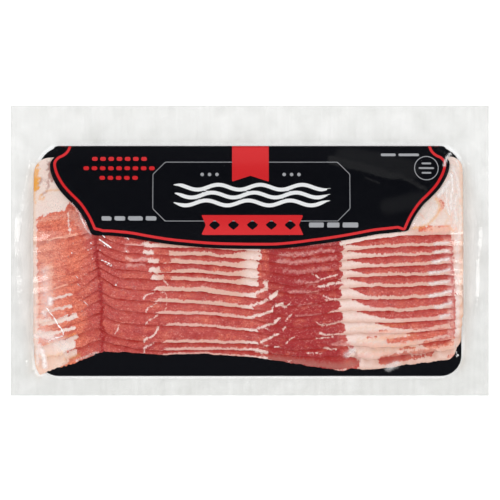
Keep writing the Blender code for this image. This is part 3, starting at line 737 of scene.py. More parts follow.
@dataclass(frozen=True)
class Marbling:
    """Where fat and lean lie on each slice, from the front slice to the back one.

    Fat borders the front edge of the middle in a stripe, which opens to a wedge on the
    upper slices. Right of the dark lean it fills the slice, and then thins to a stripe
    again under a wedge of lean. The two ends are fat. Fields whose names end in _at, and
    the deep ones, give where a tone begins, is full, fades and ends along X.
    """

    stripe_from: tuple = (-55, -55, -54, -53, -58, -59, -60, -61, -61.5, -62.5, -65, -65, -60)
    stripe_to: tuple = (10, 9.5, 5, 5, 2, 2, 4, 5.5, 5, 5, 6.3, 6.3, 6)
    stripe: tuple = (0.9, 1.5, 2.1, 1.6, 1.8, 2.3, 2.7, 2.3, 2.3, 2.4, 2.8, 2.6, 2.0)
    wedge_above: int = 7
    lobe: tuple = (67, 61, 59.5, 58, 57, 55, 56, 56.3, 57, 56, 57, 57.4, 57)
    thin: tuple = (200, 105, 97, 78, 67, 64, 62, 61, 61, 61, 61, 60.5, 75)
    thick: tuple = (210, 112, 104, 99, 88, 77, 75, 73.5, 73, 77, 80, 72, 96)
    right_stripe: tuple = (3, 2.0, 2.5, 2.4, 2.4, 2.2, 2.1, 2.1, 2.0, 2.0, 1.8, 2.0, 2.5)
    right_end: tuple = (112, 124, 125.2, 125.4, 125.2, 125, 124.8, 124.4, 124, 123.6, 123.4, 123.2, 124)
    top_x: tuple = (-131.8, -126.3, -119, -112.6, -110.7, -108.9, -107, 56, 62)
    top_y: tuple = (18.9, 21.2, 23.1, 24.5, 28.6, 30.4, 60, 60, 9)
    thin_at: tuple = (-60, -52, -8, 2)
    deep_column: tuple = (6, 15, 52, 60)
    deep_middle: tuple = (-62, -50, 2, 14)
    low_middle: tuple = (-85, -60, 0, 12)
    smeared_at: tuple = (119.5, 121.5, 123.6, 125.2)

    def fat(self, index: int, x: Array, y: Array, rise: Array, exposure: Array) -> Array:
        """Return how far inside fat each place lies, in millimetres, less than 0 in lean.

        Args:
            index: The slice, from the front one.
            x: Places along the pack.
            y: Places up the pack.
            rise: How far above the slice's front edge each place lies.
            exposure: How far above it the next slice's front edge lies.

        Returns:
            The signed distance, roughly.
        """
        row = 31.0 * index
        begin, end = self.stripe_from[index], self.stripe_to[index]
        width = self.stripe[index] * smooth_step(x, begin, begin + 5)
        width = width * (1 + 0.1 * swell(x, row, 22, 300 + index, 6)) - 3 * (x < begin)
        fringe = 1.7 * rise + 0.2 + 0.3 * swell(x, row, 4, 360 + index)
        if index >= self.wedge_above:
            width = width + (exposure + 0.8 - width) * smooth_step(x, -12, 3.5)
            edge = end + 0.7 * swell(y, row, 2.6, 310 + index, 8)
            before_end = edge - x
        else:
            before_end = (end - x) * 0.8
        middle = np.minimum(np.minimum(width - rise, fringe), before_end)
        spread = (rise - exposure / 2) / (exposure / 2 + 0.1)
        from_lobe = x - self.lobe[index] + 2.4 * np.minimum(spread * spread, 1.3)
        from_lobe = from_lobe + 0.35 * swell(x, y, 2.4, 330 + index)
        narrow = np.sqrt(smooth_step(x, self.thin[index], self.thick[index]))
        width = (exposure - 0.5) * (1 - narrow) + self.right_stripe[index] * narrow
        width = width + 0.7 * smooth_step(x, 110, 117) * (index > 1)
        width = width - 4 * smooth_step(x, 121.2, 124) * (index > 0)
        width = np.where(x < self.thin[index] - 2, 99.0, width)
        right = np.minimum(from_lobe, np.minimum(width - rise, fringe + 20 * (1 - narrow)))
        end_fat = x - self.right_end[index] + 0.5 * swell(x, y, 3, 340 + index)
        fat = np.maximum(np.maximum(middle, right), end_fat)
        if index == len(self.lobe) - 1:
            over = y - np.interp(x, self.top_x, self.top_y)
            fat = np.maximum(fat, over * 0.9 + 0.3 * swell(x, y, 3.4, 350))
        return fat + 0.1 * swell(x, rise + row, 2.6, 400 + index)

    def fields(self, index: int, x: Array, y: Array, rise: Array, exposure: Array) -> dict[str, Array]:
        """Return the slice's painted values at places on it.

        Args:
            index: The slice, from the front one.
            x: Places along the pack.
            y: Places up the pack.
            rise: How far above the slice's front edge each place lies.
            exposure: How far above it the next slice's front edge lies.

        Returns:
            fat in millimetres, more than 0 within it, and thin, pale, warm, deep, a brown
            tone that is partly painted shade along the front edge, gold, and painted shade
            beside the next slice's front edge and in the crease, each from 0 to 1.
        """
        fat = self.fat(index, x, y, rise, exposure)
        thin_fat = window(x, *self.thin_at)
        narrowed = smooth_step(x, self.thick[index] - 7, self.thick[index] + 9) * (x < 122)
        thin_fat = (thin_fat + narrowed) * (1 - smooth_step(rise, 3.4, 6))
        left = 1 - smooth_step(x, -108, -93)
        column = window(x, *self.deep_column)
        low_right = smooth_step(x, 60, 80) * smooth_step(-y, 42, 60)
        tan_fat = low_right * smooth_step(x, 66, 84) * (0.7 + 0.25 * swell(x, y, 7, 460))
        tan_fat = np.maximum(tan_fat, 0.8 * (1 - smooth_step(rise, 0.2, 3.4)) * (x > 40) * (index < 12))
        left_soft = 0.36 * (1 - smooth_step(x, -126, -108)) * (y < 12) * (fat < 0)
        upper_right = smooth_step(x, 96, 104) * smooth_step(y, 8, 14)
        warm = 0.80 * left + 0.9 * upper_right + 0.7 * low_right + 0.12 + 0.12 * swell(x, y, 14, 430)
        low_middle = smooth_step(-y, 38, 52) * window(x, *self.low_middle)
        middle = window(x, *self.deep_middle)
        deep = 0.86 * column + 0.28 * low_middle + 0.10 * swell(x, y, 9, 440) + 0.05
        deep = deep + 0.26 * middle * smooth_step(y, -24, -12)
        corner = smooth_step(-x, 104, 112) * smooth_step(-y, 60, 66)
        rind = np.maximum(smooth_step(x, 126.8, 129.0), 0.6 * smooth_step(-x, 129.8, 130.8))
        smeared = window(x, *self.smeared_at) * (0.55 + 0.2 * swell(x, y, 5, 450))
        smeared = np.clip(smeared, 0, 1) * smooth_step(-y, -12, -4)
        found = {
            "fat": fat,
            "pale": np.maximum(smeared, 0.4 * thin_fat * (index < 5) * (fat > 0)) + left_soft,
            "thin": np.maximum(thin_fat, tan_fat),
            "warm": warm,
            "deep": deep,
            "stain": np.zeros(x.shape),
            "gold": 0.14 * corner + 0.24 * rind,
            "seam": np.zeros(x.shape),
        }
        for mark in MEAT_MARKS:
            tone, strength = mark.tone, mark.strength
            inside = stroke(mark, x, y, 0.3 if tone in (Tone.FAT, Tone.LEAN) else 0.5)
            if tone is Tone.FAT and strength == 1:
                found["fat"] = np.maximum(found["fat"], inside)
            elif tone is Tone.LEAN:
                found["fat"] = np.minimum(found["fat"], -inside)
            else:
                label = "pale" if tone is Tone.FAT else tone.value
                soft = 0.25 if tone is Tone.FAT else 0.5
                layer = strength * smooth_step(inside, -soft, soft)
                found[label] = np.maximum(found[label], layer)
        return found


@dataclass(frozen=True)
class Slices:
    """All the slices of the pack, as closed meshes with their marbling painted on."""

    shingle: Shingle
    marbling: Marbling
    columns: int = 520
    step: float = 0.5
    nose: float = 0.8
    relief: float = 0.1
    pressed_left: tuple = (0.3, 0.6, 0.7, 0.75, 0.75, 0.8, 0.85, 0.95, 1, 1, 1, 1, 0.5)
    least_melt: float = 0.5

    def depths(self, index: int) -> Array:
        """Return how far behind the front edge a slice's rows of points lie.

        They turn round the front edge in even angles, run close together where the slice
        shows, and far apart under the next ones.
        """
        turns = np.radians((16, 34, 54, 74))
        front = self.nose * (1 - np.cos(turns))
        width = self.shingle.tails[index] - self.shingle.edges[index]
        last = index == self.shingle.count - 1
        shown = width - 3 if last else self.shingle.pitches[index] + 2.5
        rows = np.arange(self.nose, shown, 0.72 if last else self.step)
        hidden = np.linspace(shown, width - 0.8, 3 if last else 7)
        back = width - np.array((0.35, 0.12, 0.02))
        return np.concatenate([front, rows, hidden, back])

    def edge_at(self, index: int, x: Array) -> Array:
        """Return the station of a slice's front edge across the pack, a little wavy."""
        row = 53.0 * index
        wave = 0.12 * swell(x, row, 30, 500 + index) + 0.12 * swell(x, row, 9, 520 + index)
        return self.shingle.edges[index] + wave + 0.07 * swell(x, row, 2.6, 540 + index)

    def melt(self, index: int, x: Array) -> Array:
        """Return how far a slice's front edge is pressed into the one below, 0 to 1."""
        start = np.interp(index, (2, 8), (-110, -97))
        end = np.interp(index, (2, 8), (-98, -92.5))
        pressed = self.pressed_left[index] * (1 - smooth_step(x, start, end))
        pressed = np.maximum(pressed, 0.85 * smooth_step(x, 119, 125))
        if 1 <= index <= 5:
            pressed = np.maximum(pressed, 0.5 * window(x, 58, 62, self.marbling.thin[index], 200))
        return np.maximum(pressed, self.least_melt)

    def seam(self, index: int, x: Array, depth: Array) -> Array:
        """Return the painted shadow line beside the next slice's front edge, 0 to 1."""
        lay = self.shingle
        close = smooth_step(depth, lay.pitches[index] - 2.8, lay.pitches[index] - 0.1)
        soft = 0.74 + 0.26 * smooth_step(x, -99, -90) + 0.2 * swell(x, 9.0 * index, 8, 600 + index)
        return close**1.4 * (1.25 - 0.95 * self.melt(index + 1, x)) * soft

    def build(self, index: int) -> bpy.types.Object:
        """Make one slice.

        Its rings stand side by side along X. Each runs over the top from the front edge to
        the tail and back along the underside. Half the thickness at a place is the
        slice's own, times a quarter round at the front edge, the tail and the two ends.

        Args:
            index: The slice, from the front one.

        Returns:
            The slice's object.
        """
        lay = self.shingle
        left, right = lay.end_of(index)
        x = np.linspace(left, right, self.columns)[:, None]
        depth = self.depths(index)[None, :]
        from_end = np.minimum(x - left, right - x)
        width = lay.tails[index] - lay.edges[index]
        last = index == lay.count - 1
        bevel = 2.0 if index > 2 else 5.0
        radius = 9.0 if last else 6.0
        edge = self.edge_at(index, x) + bevel * rounding(from_end, bevel)
        tail = lay.tails[index] + 0.5 * swell(x, 71.0 * index, 30, 560 + index)
        tail = tail - radius * rounding(from_end, radius)
        if last:
            tail = tail + 2.0 * smooth_step(np.abs(x), 108, 120)
        station = edge + depth * (tail - edge) / width
        y = lay.bent(x, station)
        under = np.interp(station, lay.lattice, lay.undersides()[index])
        thick = lay.thickness_at(index, lay.edges[index] + depth)
        melt = self.melt(index, x)
        thick = thick * (1 - 0.82 * melt * (1 - smooth_step(depth, 0, 5)))
        ends = 1 - rounding(from_end + 0.12, 1.1)
        front = 1 - rounding(depth, self.nose)
        back = 1 - rounding(width - depth, 0.5)
        half = thick / 2 * ends * front * back
        exposure = np.full(x.shape, 60.0)
        if not last:
            exposure = lay.bent(x, np.full(x.shape, lay.edges[index + 1])) - y[:, :1]
        flat_x = np.broadcast_to(x, y.shape).copy()
        fields = self.marbling.fields(index, flat_x, y, y - y[:, :1], exposure)
        shown = np.where(depth < (1e6 if last else lay.pitches[index] + 0.8), 1.0, 0.0) * ends
        bump = self.relief * (smooth_step(fields["fat"], -0.5, 0.5) - 0.6)
        bump = bump + 0.05 * swell(x, y, 2.4, 580 + index) + 0.04 * swell(x, y, 6, 590 + index)
        middle = under + thick / 2
        top = lay.base + lay.loft(x) * (middle + half + bump * shown * front)
        bottom = lay.base + lay.loft(x) * (middle - half)
        over = np.stack([flat_x, y, top], 2)
        below = np.stack([flat_x, y, bottom], 2)[:, ::-1]
        rings = np.concatenate([over, below], 1)
        if not last:
            # painted shadow where the next slice's front edge lies over this one
            fields["seam"] = np.maximum(self.seam(index, x, depth), fields["seam"])
        both = {n: np.concatenate([v, v[:, ::-1]], 1) for n, v in fields.items()}
        return closed_mesh(f"bacon_slice_{index + 1:02d}", rings, Ends.STRIP, both)


# ---------------------------------------------------------------- card


@dataclass(frozen=True)
class Card:
    """The black card: a panel under the slices, a fold at the back and a printed flap."""

    shingle: Shingle
    half_width: float = 129.2
    front: float = -76.5
    back: float = 64.0
    front_corner: float = 12.5
    fold_half: float = 112.6
    back_corner: float = 16.0
    fold_radius: float = 1.2
    thickness: float = 0.56
    middle: float = 1.0
    side: tuple = (
        (112.6, 64.0), (113.5, 62.2), (115.3, 60.6), (118.4, 59.1), (121.1, 56.1), (121.9, 53.0),
        (121.4, 49.3), (119.6, 44.5), (115.9, 38.3), (111.0, 32.8), (105.2, 27.0), (100.4, 20.0),
        (97.9, 14.9), (96.6, 11.9), (95.0, 10.6), (92.8, 10.2),
    )  # fmt: skip
    arch_x: tuple = (
        -94, -86.6, -79, -72, -64.6, -57, -50, -42.6, -35, -28, -20, -6, 1.4,
        16, 23, 30.7, 38, 45, 52.7, 60, 67, 74.7, 82, 89, 94,
    )  # fmt: skip
    arch_y: tuple = (
        9.2, 9.3, 8.7, 8.0, 6.5, 5.2, 4.1, 3.3, 2.6, 2.0, 1.5, 1.2, 1.1,
        1.1, 1.7, 2.5, 3.6, 4.4, 5.6, 6.8, 8.1, 9.7, 10.5, 11.2, 12.0,
    )  # fmt: skip
    dot_rows: tuple = ((-79.5, 56.0, 7), (-79.7, 50.2, 9), (-79.9, 44.3, 5))
    dashes: tuple = (
        (-87.0, 19.6, 6.0, 2.6), (-79.0, 19.6, 6.5, 2.6), (-69.5, 19.6, 9.0, 2.6),
        (-60.0, 19.6, 6.5, 2.6), (40.5, 15.6, 9.0, 3.0), (50.8, 15.6, 7.5, 3.0),
        (61.2, 15.6, 9.5, 3.0), (84.5, 58.5, 9.0, 1.6), (97.0, 58.5, 12.5, 1.6),
        (107.7, 53.2, 6.0, 1.1), (107.7, 50.3, 9.5, 1.1), (107.7, 47.4, 6.0, 1.1),
    )  # fmt: skip
    ring: tuple = (107.7, 50.3, 7.2)
    wave_length: float = 25.5
    wave_height: float = 1.5
    wave_half: float = 1.15
    columns: int = 340
    flap_rows: int = 110

    @property
    def fold_centre(self) -> float:
        """The Y of the fold's axis."""
        return self.back - self.thickness / 2 - self.fold_radius

    def arch(self, share: Array) -> Array:
        """Return the Y of the flap's front edge, as its share runs from -1 to 1."""
        return eased(share * self.side[-1][0], self.arch_x, self.arch_y, 4)

    def panel_half(self, y: Array) -> Array:
        """Return the panel's half width, less in its rounded corners."""
        front = self.front_corner * rounding(y - self.front, self.front_corner)
        narrow = self.half_width - self.fold_half
        return self.half_width - front - narrow * rounding(self.back - y, self.back_corner)

    def flap_height(self, x: Array, y: Array) -> Array:
        """Return the height of the flap's middle: over the stack, eased, and the fold."""
        lay = self.shingle
        top = np.maximum(lay.top(), 0)
        wide = np.max([np.roll(top, step) for step in range(-7, 8)], 0)
        gentle = blurred(wide, 16, 8.0)
        reach = np.clip(np.abs(x) - 103, 0, None)
        loft = 1 - 0.0011 * reach**2
        over = lay.base + loft * np.interp(lay.station(x, y), lay.lattice, gentle) + 0.55
        fold_top = self.middle + 2 * self.fold_radius
        soft = 1.2
        return fold_top + soft * np.logaddexp(0, (over - fold_top) / soft)

    def on_flap(self, x: Array, y: Array) -> Array:
        """Return whether places lie under the flap's outline."""
        side = np.array(self.side)[::-1]
        half = np.interp(y, side[:, 1], side[:, 0])
        share = np.clip(x / self.side[-1][0], -1, 1)
        return (np.abs(x) < half) & (y > self.arch(share)) & (y < self.back)

    def path(self) -> Array:
        """Return the card's middle surface, as column, row and axis.

        Columns share out each row's width. Rows run from the panel's front edge to its
        back, half round the fold, and down the flap, which is a patch between its two
        sides and its arched front edge.
        """
        share = np.linspace(-1, 1, self.columns)[:, None]
        turns = 1 - np.cos(np.radians(np.arange(0, 91, 10)))
        rows = np.concatenate(
            [
                self.front + self.front_corner * turns,
                (-40, -5, 30, self.back - self.back_corner),
                self.back - self.back_corner * turns[8:3:-1],
            ]
        )
        y = np.append(rows, self.fold_centre)[None, :] + 0 * share
        panel = np.stack([share * self.panel_half(y), y, self.middle + 0 * y], 2)
        side = smooth_line(self.side, self.flap_rows)
        down = np.linspace(0, 1, self.flap_rows)[None, :]
        fx = share * side[:, 0]
        drop = self.arch(share) - side[-1, 1]
        fy = side[:, 1] + down * drop - (1 - down) * (self.back - self.fold_centre)
        flap = np.stack([fx, fy, self.flap_height(fx, fy)], 2)
        turn = np.radians(np.arange(18, 180, 18))[None, :, None]
        mix = (1 - np.cos(turn)) / 2
        fold = panel[:, -1:] * (1 - mix) + flap[:, :1] * mix
        fold[..., 1] += self.fold_radius * np.sin(turn[..., 0])
        return np.concatenate([panel, fold, flap], 1)

    def outline(self) -> Array:
        """Return the flap's free edge, from its left end at the fold round to its right."""
        side = smooth_line(self.side, 60)
        share = np.linspace(-1, 1, 60)[1:-1]
        front = np.stack([share * self.side[-1][0], self.arch(share)], 1)
        return np.vstack([side * (-1, 1), front, side[::-1]])

    def print_fields(self, x: Array, y: Array) -> dict[str, Array]:
        """Return signed distances to the flap's printed shapes, less than 0 inside.

        Args:
            x: Places along the pack.
            y: Places up the pack.

        Returns:
            rim, the way in from the flap's free edge, and a distance for the framing line,
            the ring and the shapes in red, white and grey.
        """
        chamfer = (np.abs(x - 1) + np.abs(y - 36) - 70.5) / math.sqrt(2)
        panel = np.maximum(np.maximum(np.abs(x - 1) - 60, np.abs(y - 36) - 18), chamfer)
        ring_x, ring_y, ring_radius = self.ring
        return {
            "rim": to_polyline(x, y, self.outline()),
            "panel_line": panel,
            "ring": np.hypot(x - ring_x, y - ring_y) - ring_radius,
            "red": self.red_print(x, y),
            "white": self.white_print(x, y),
            "grey": self.grey_print(x, y),
        }

    def red_print(self, x: Array, y: Array) -> Array:
        """Return the signed distance to the tail, the pierced banner and the rows of dots."""
        tail = 42.0 + 3.6 * (1 - np.abs(x - 0.4) / 11.2)
        red = np.maximum(np.abs(x - 0.4) - 11.2, tail - y)
        off = np.abs(y - 15.6)
        banner = np.maximum(np.abs(x - 1.6) - 31 + 0.45 * (6 - off), off - 6)
        for step in range(-2, 3):
            lozenge = (np.abs(x - 1.6 - 11.5 * step) * 0.8 + off - 3.0) / 1.3
            banner = np.maximum(banner, -lozenge)
        red = np.minimum(red, banner)
        for centre, height, dots in self.dot_rows:
            for step in range(dots):
                at = centre + 5.0 * (step - (dots - 1) / 2)
                red = np.minimum(red, box_distance(x - at, y - height, 3.4, 2.4, 0.9))
        return red

    def white_print(self, x: Array, y: Array) -> Array:
        """Return the signed distance to three waves that taper to their ends."""
        white = np.full(x.shape, FAR_OUT)
        pace = 2 * np.pi / self.wave_length
        taper = np.abs(x - 1) - 50
        for height, phase in ((38.6, 0.0), (33.8, 0.9), (29.0, 1.8)):
            wave = y - height - self.wave_height * np.sin(pace * x + phase)
            slope = self.wave_height * pace * np.cos(pace * x + phase)
            ribbon = np.abs(wave) / np.hypot(1, slope) - self.wave_half
            thinned = ribbon + self.wave_half * smooth_step(taper, -9, 0)
            white = np.minimum(white, np.maximum(thinned, taper))
        return white

    def grey_print(self, x: Array, y: Array) -> Array:
        """Return the signed distance to the grey dashes and dots."""
        grey = np.full(x.shape, FAR_OUT)
        for centre, height, wide, tall in self.dashes:
            grey = np.minimum(grey, box_distance(x - centre, y - height, wide, tall, 0.5))
        for centre in (-29, -24.5, -20, 21, 25.5, 30):
            grey = np.minimum(grey, np.hypot(x - centre, y - 46.4) - 1.1)
        return grey

    def build(self) -> bpy.types.Object:
        """Make the card: its middle surface, moved half its thickness to either side."""
        path = self.path()
        along = np.gradient(path, axis=0)
        up = np.gradient(path, axis=1)
        normal = np.cross(along, up)
        normal /= np.linalg.norm(normal, axis=2, keepdims=True)
        inner = path + normal * self.thickness / 2
        outer = path - normal * self.thickness / 2
        rings = np.concatenate([outer, inner[:, ::-1]], 1)
        x, y = path[..., 0], path[..., 1]
        blank = np.full(x.shape, FAR_OUT)
        flap = np.arange(path.shape[1]) >= path.shape[1] - self.flap_rows - 4
        both = {}
        for name, values in self.print_fields(x, y).items():
            face = np.where(flap[None, :], values, FAR_OUT)
            both[name] = np.concatenate([face, blank], 1)
        return closed_mesh("folded_card", rings, Ends.STRIP, both)


# ---------------------------------------------------------------- film


@dataclass(frozen=True)
class Film:
    """The clear pouch: a top web drawn tight over everything, and a flat bottom web."""

    shingle: Shingle
    card: Card
    width: float = 292.0
    depth: float = 177.0
    columns: int = 326
    rows: int = 200
    under_rows: int = 34
    slope: float = 1.35
    clear: float = 0.22
    no_glint: float = -3.0

    def contents(self, x: Array, y: Array) -> Array:
        """Return the height of what lies in the pack: the panel, the slices and the flap."""
        lay, card = self.shingle, self.card
        panel = np.where(np.abs(x) < card.panel_half(y), 1.3, 0.0)
        panel = np.where((y > card.front) & (y < card.back), panel, 0.0)
        stack = np.interp(lay.station(x, y), lay.lattice, lay.top())
        stack = np.where(stack > 0, lay.base + lay.loft(x) * stack + 0.1, 0)
        left, right = lay.ends
        stack = np.where(np.maximum(left - x, x - right) > 0.4, 0, stack)
        flap = np.where(card.on_flap(x, y), card.flap_height(x, y) + 0.3, 0)
        return np.maximum(np.maximum(panel, stack), flap)

    def draped(self, height: Array, step: tuple[float, float]) -> Array:
        """Return the film's height over the contents.

        Each place holds the film up as a cone does, and the film is the highest of those
        cones, smoothed. The contents, widened by two points of the grid, hold it up once
        more, and the whole is smoothed again, so that no step between points shows.
        """
        web = height
        reach = np.hypot(*step)
        for _ in range(16):
            along, up, slant = highest_beside(web)
            sides = np.maximum(along - self.slope * step[0], up - self.slope * step[1])
            web = np.maximum(web, np.maximum(sides, slant - self.slope * reach))
        widened = height
        for _ in range(2):
            along, up, _ = highest_beside(widened)
            widened = np.maximum(np.maximum(widened, along), up)
        return softened(np.maximum(softened(np.maximum(web, 0), 3), widened), 5)

    def off_card(self, x: Array, y: Array) -> Array:
        """Return how far outside the card and the slices each place lies, 0 over them."""
        card, (left, right) = self.card, self.shingle.ends
        middle = (card.front + card.back) / 2
        panel = box_distance(x, y - middle, 2 * card.half_width, card.back - card.front, 14)
        round_off = rounding(np.minimum(x - left, right - x), 5)
        height = np.interp(x, ACROSS, FRONTS[0]) + 5 * round_off
        slices = np.maximum(np.maximum(left - x, x - right), np.maximum(height - y, y - 52))
        return np.maximum(np.minimum(panel, slices), 0)

    def wrinkles(self, x: Array, y: Array, margin: Array) -> Array:
        """Return the film's wrinkles: long ones in the margins and fine ones elsewhere."""
        sides = smooth_step(np.abs(x), 131, 140)
        long_x = swell(x, y * 0.06, 5.5, 610, 10)
        long_y = swell(x * 0.05, y, 6.5, 611, 10)
        crimp = sides * long_x + (1 - sides) * long_y
        ridge = np.exp(-((crimp / 0.55) ** 2))
        fine = swell(x, y, 9, 612) * 0.05 + swell(x, y, 3.2, 613) * 0.02
        amount = np.where(x < -120, 0.9, 0.4 - 0.34 * (x > 120))
        return margin * amount * (0.26 * ridge + 0.12 * (crimp + 1.5)) + (1 - margin) * fine

    def lights(self, x: Array, y: Array) -> dict[str, Array]:
        """Return the film's painted lights: glint in millimetres, white streaks and sheen as shares."""
        found = {"glint": np.full(x.shape, self.no_glint)}
        found["frost"], found["sheen"] = np.zeros(x.shape), np.zeros(x.shape)
        for mark in FILM_MARKS:
            layer = stroke(mark, x, y, 0.2)
            if mark.tone is Tone.HAZE_AND_HIGHLIGHT:
                layer = mark.strength * smooth_step(layer, -0.6, mark.width / 2)
            elif mark.tone is Tone.SHEEN:
                soft = 0.25 if mark.width < 8 else 2.0
                layer = mark.strength * smooth_step(layer, -soft, soft)
            found[mark.tone.value] = np.maximum(found[mark.tone.value], layer)
        return found

    def tones(self, x: Array, y: Array, off: Array, margin: Array) -> dict[str, Array]:
        """Return how dark the margin is, its painted tan shadow beside the slice ends, and the painted
        glint dots over the meat.

        Args:
            x: Places along the pack, as a full grid.
            y: Places up the pack, of the same shape.
            off: How far outside the card and the slices each place lies.
            margin: The share of margin there.

        Returns:
            shade, near and the glint dots, each from 0 to about 1.
        """
        share = y / (self.depth / 2)
        # darker towards the bottom, with a painted shadow of the contents close beside them
        shade = 0.67 - 0.15 * share + 0.13 * share**2 + 0.18 * np.exp(-off / 6)
        shade = shade + 0.045 * (x > 100) + 0.045 * swell(x, y, 26, 614)
        # a painted tan shadow beside the slice ends
        beside = smooth_step(np.abs(x), 126, 130) * (1 - smooth_step(y, 46, 56))
        near = beside * np.exp(-np.clip(off - 0.6, 0, None) / 1.8)
        meat = (off <= 0.2) & ~self.card.on_flap(x, y) & (y > np.interp(x, ACROSS, FRONTS[0]))
        # painted glint dots over the meat, more at its two ends
        left, right = 1 - smooth_step(x, -100, -84), smooth_step(x, 112, 124)
        wet = meat * (0.45 + 0.55 * left + 0.25 * right)
        return {"shade": margin * shade, "near": margin * near, "wet": wet}

    def build(self) -> bpy.types.Object:
        """Make the pouch, its rings running over the top web and back along the bottom."""
        x = np.linspace(-self.width / 2, self.width / 2, self.columns)[:, None]
        y = np.linspace(-self.depth / 2, self.depth / 2, self.rows)[None, :]
        inside = self.contents(x, y)
        step = (x[1, 0] - x[0, 0], y[0, 1] - y[0, 0])
        web = self.draped(inside, step)
        flat_x, flat_y = (side.copy() for side in np.broadcast_arrays(x, y))
        off = self.off_card(x, y)
        margin = smooth_step(off, 0.2, 2.0)
        border = np.minimum(self.width / 2 - np.abs(x), self.depth / 2 - np.abs(y))
        flat = smooth_step(border, 0, 2.5)
        low = 1 - smooth_step(web, 0.3, 2.4)
        lights = self.lights(flat_x, flat_y)
        ridge = 0.18 * smooth_step(lights["glint"], -0.8, 0.3)
        top = web + self.clear + flat * (np.maximum(self.wrinkles(x, y, low), -0.12) + ridge)
        over = np.stack([flat_x, flat_y, top], 2)
        low_y = np.linspace(self.depth / 2, -self.depth / 2, self.under_rows)[None, :]
        under = np.stack(np.broadcast_arrays(x, low_y, 0.0 * x), 2)
        rings = np.concatenate([over, under], 1)
        hem = 1 - smooth_step(border, 0, 1.0)
        values = {"margin": margin, "hem": hem, **lights, **self.tones(flat_x, flat_y, off, margin)}
        both = {}
        for name, over_web in values.items():
            under_web = np.full((self.columns, self.under_rows), self.no_glint * (name == "glint"))
            both[name] = np.concatenate([over_web, under_web], 1)
        return closed_mesh("clear_film", rings, Ends.POLYGON, both)


# ---------------------------------------------------------------- node tools


class Weave:
    """A short way to lay out the nodes of a tree."""

    def __init__(self, tree: bpy.types.NodeTree) -> None:
        """Keep the tree that nodes are added to."""
        self.tree = tree

    def add(self, kind: str, **settings: object) -> bpy.types.Node:
        """Add a node and set its properties."""
        node = self.tree.nodes.new(kind)
        for name, value in settings.items():
            setattr(node, name, value)
        return node

    def feed(self, socket: bpy.types.NodeSocket, value: object) -> None:
        """Link a socket to an output, or set it to a number or colour."""
        if isinstance(value, bpy.types.NodeSocket):
            self.tree.links.new(value, socket)
        elif isinstance(value, tuple) and len(value) == 3 and len(socket.default_value) == 4:
            socket.default_value = (*value, 1)
        else:
            socket.default_value = value

    def read(self, name: str) -> bpy.types.NodeSocket:
        """Return a value stored at the piece's points."""
        return self.add("ShaderNodeAttribute", attribute_name=name).outputs["Fac"]

    def sums(self, operation: str, *values: object) -> bpy.types.NodeSocket:
        """Return the result of a Math node."""
        node = self.add("ShaderNodeMath", operation=operation)
        for socket, value in zip(node.inputs, values):
            self.feed(socket, value)
        return node.outputs[0]

    def spread(
        self, value: object, low: float, high: float, start: float = 0, end: float = 1
    ) -> bpy.types.NodeSocket:
        """Return a value mapped from one range to another, smoothly and clamped."""
        node = self.add("ShaderNodeMapRange", interpolation_type="SMOOTHSTEP")
        for socket, given in zip(node.inputs, (value, low, high, start, end)):
            self.feed(socket, given)
        return node.outputs[0]

    def blend(
        self, share: object, first: object, second: object, kind: str = "MIX"
    ) -> bpy.types.NodeSocket:
        """Return a mix of two colours."""
        node = self.add("ShaderNodeMix", data_type="RGBA", blend_type=kind)
        self.feed(node.inputs["Factor"], share)
        self.feed(node.inputs[6], first)
        self.feed(node.inputs[7], second)
        return node.outputs[2]

    def mottle(
        self, scale: float, stretch: tuple = EVEN, detail: float = 3.0
    ) -> bpy.types.NodeSocket:
        """Return the shared mottle group's value, with its own size, stretch and detail."""
        node = self.add("ShaderNodeGroup", node_tree=mottle_group())
        node.inputs["Scale"].default_value = scale
        node.inputs["Stretch"].default_value = stretch
        node.inputs["Detail"].default_value = detail
        return node.outputs[0]

    def bumped(self, height: object, strength: float, distance: float) -> bpy.types.NodeSocket:
        """Return a normal that a height has roughened."""
        node = self.add("ShaderNodeBump")
        node.inputs["Strength"].default_value = strength
        node.inputs["Distance"].default_value = distance
        self.feed(node.inputs["Height"], height)
        return node.outputs[0]

    def coated(self, share: object, first: object, second: object) -> bpy.types.NodeSocket:
        """Return a mix of two surfaces."""
        node = self.add("ShaderNodeMixShader")
        for socket, value in zip(node.inputs, (share, first, second)):
            self.feed(socket, value)
        return node.outputs[0]

    def surface(self, colour: object, roughness: object, specular: float) -> bpy.types.Node:
        """Add a Principled shader of a colour, a roughness and a specular level."""
        node = self.add("ShaderNodeBsdfPrincipled")
        self.feed(node.inputs["Base Color"], colour)
        self.feed(node.inputs["Roughness"], roughness)
        node.inputs["Specular IOR Level"].default_value = specular
        return node


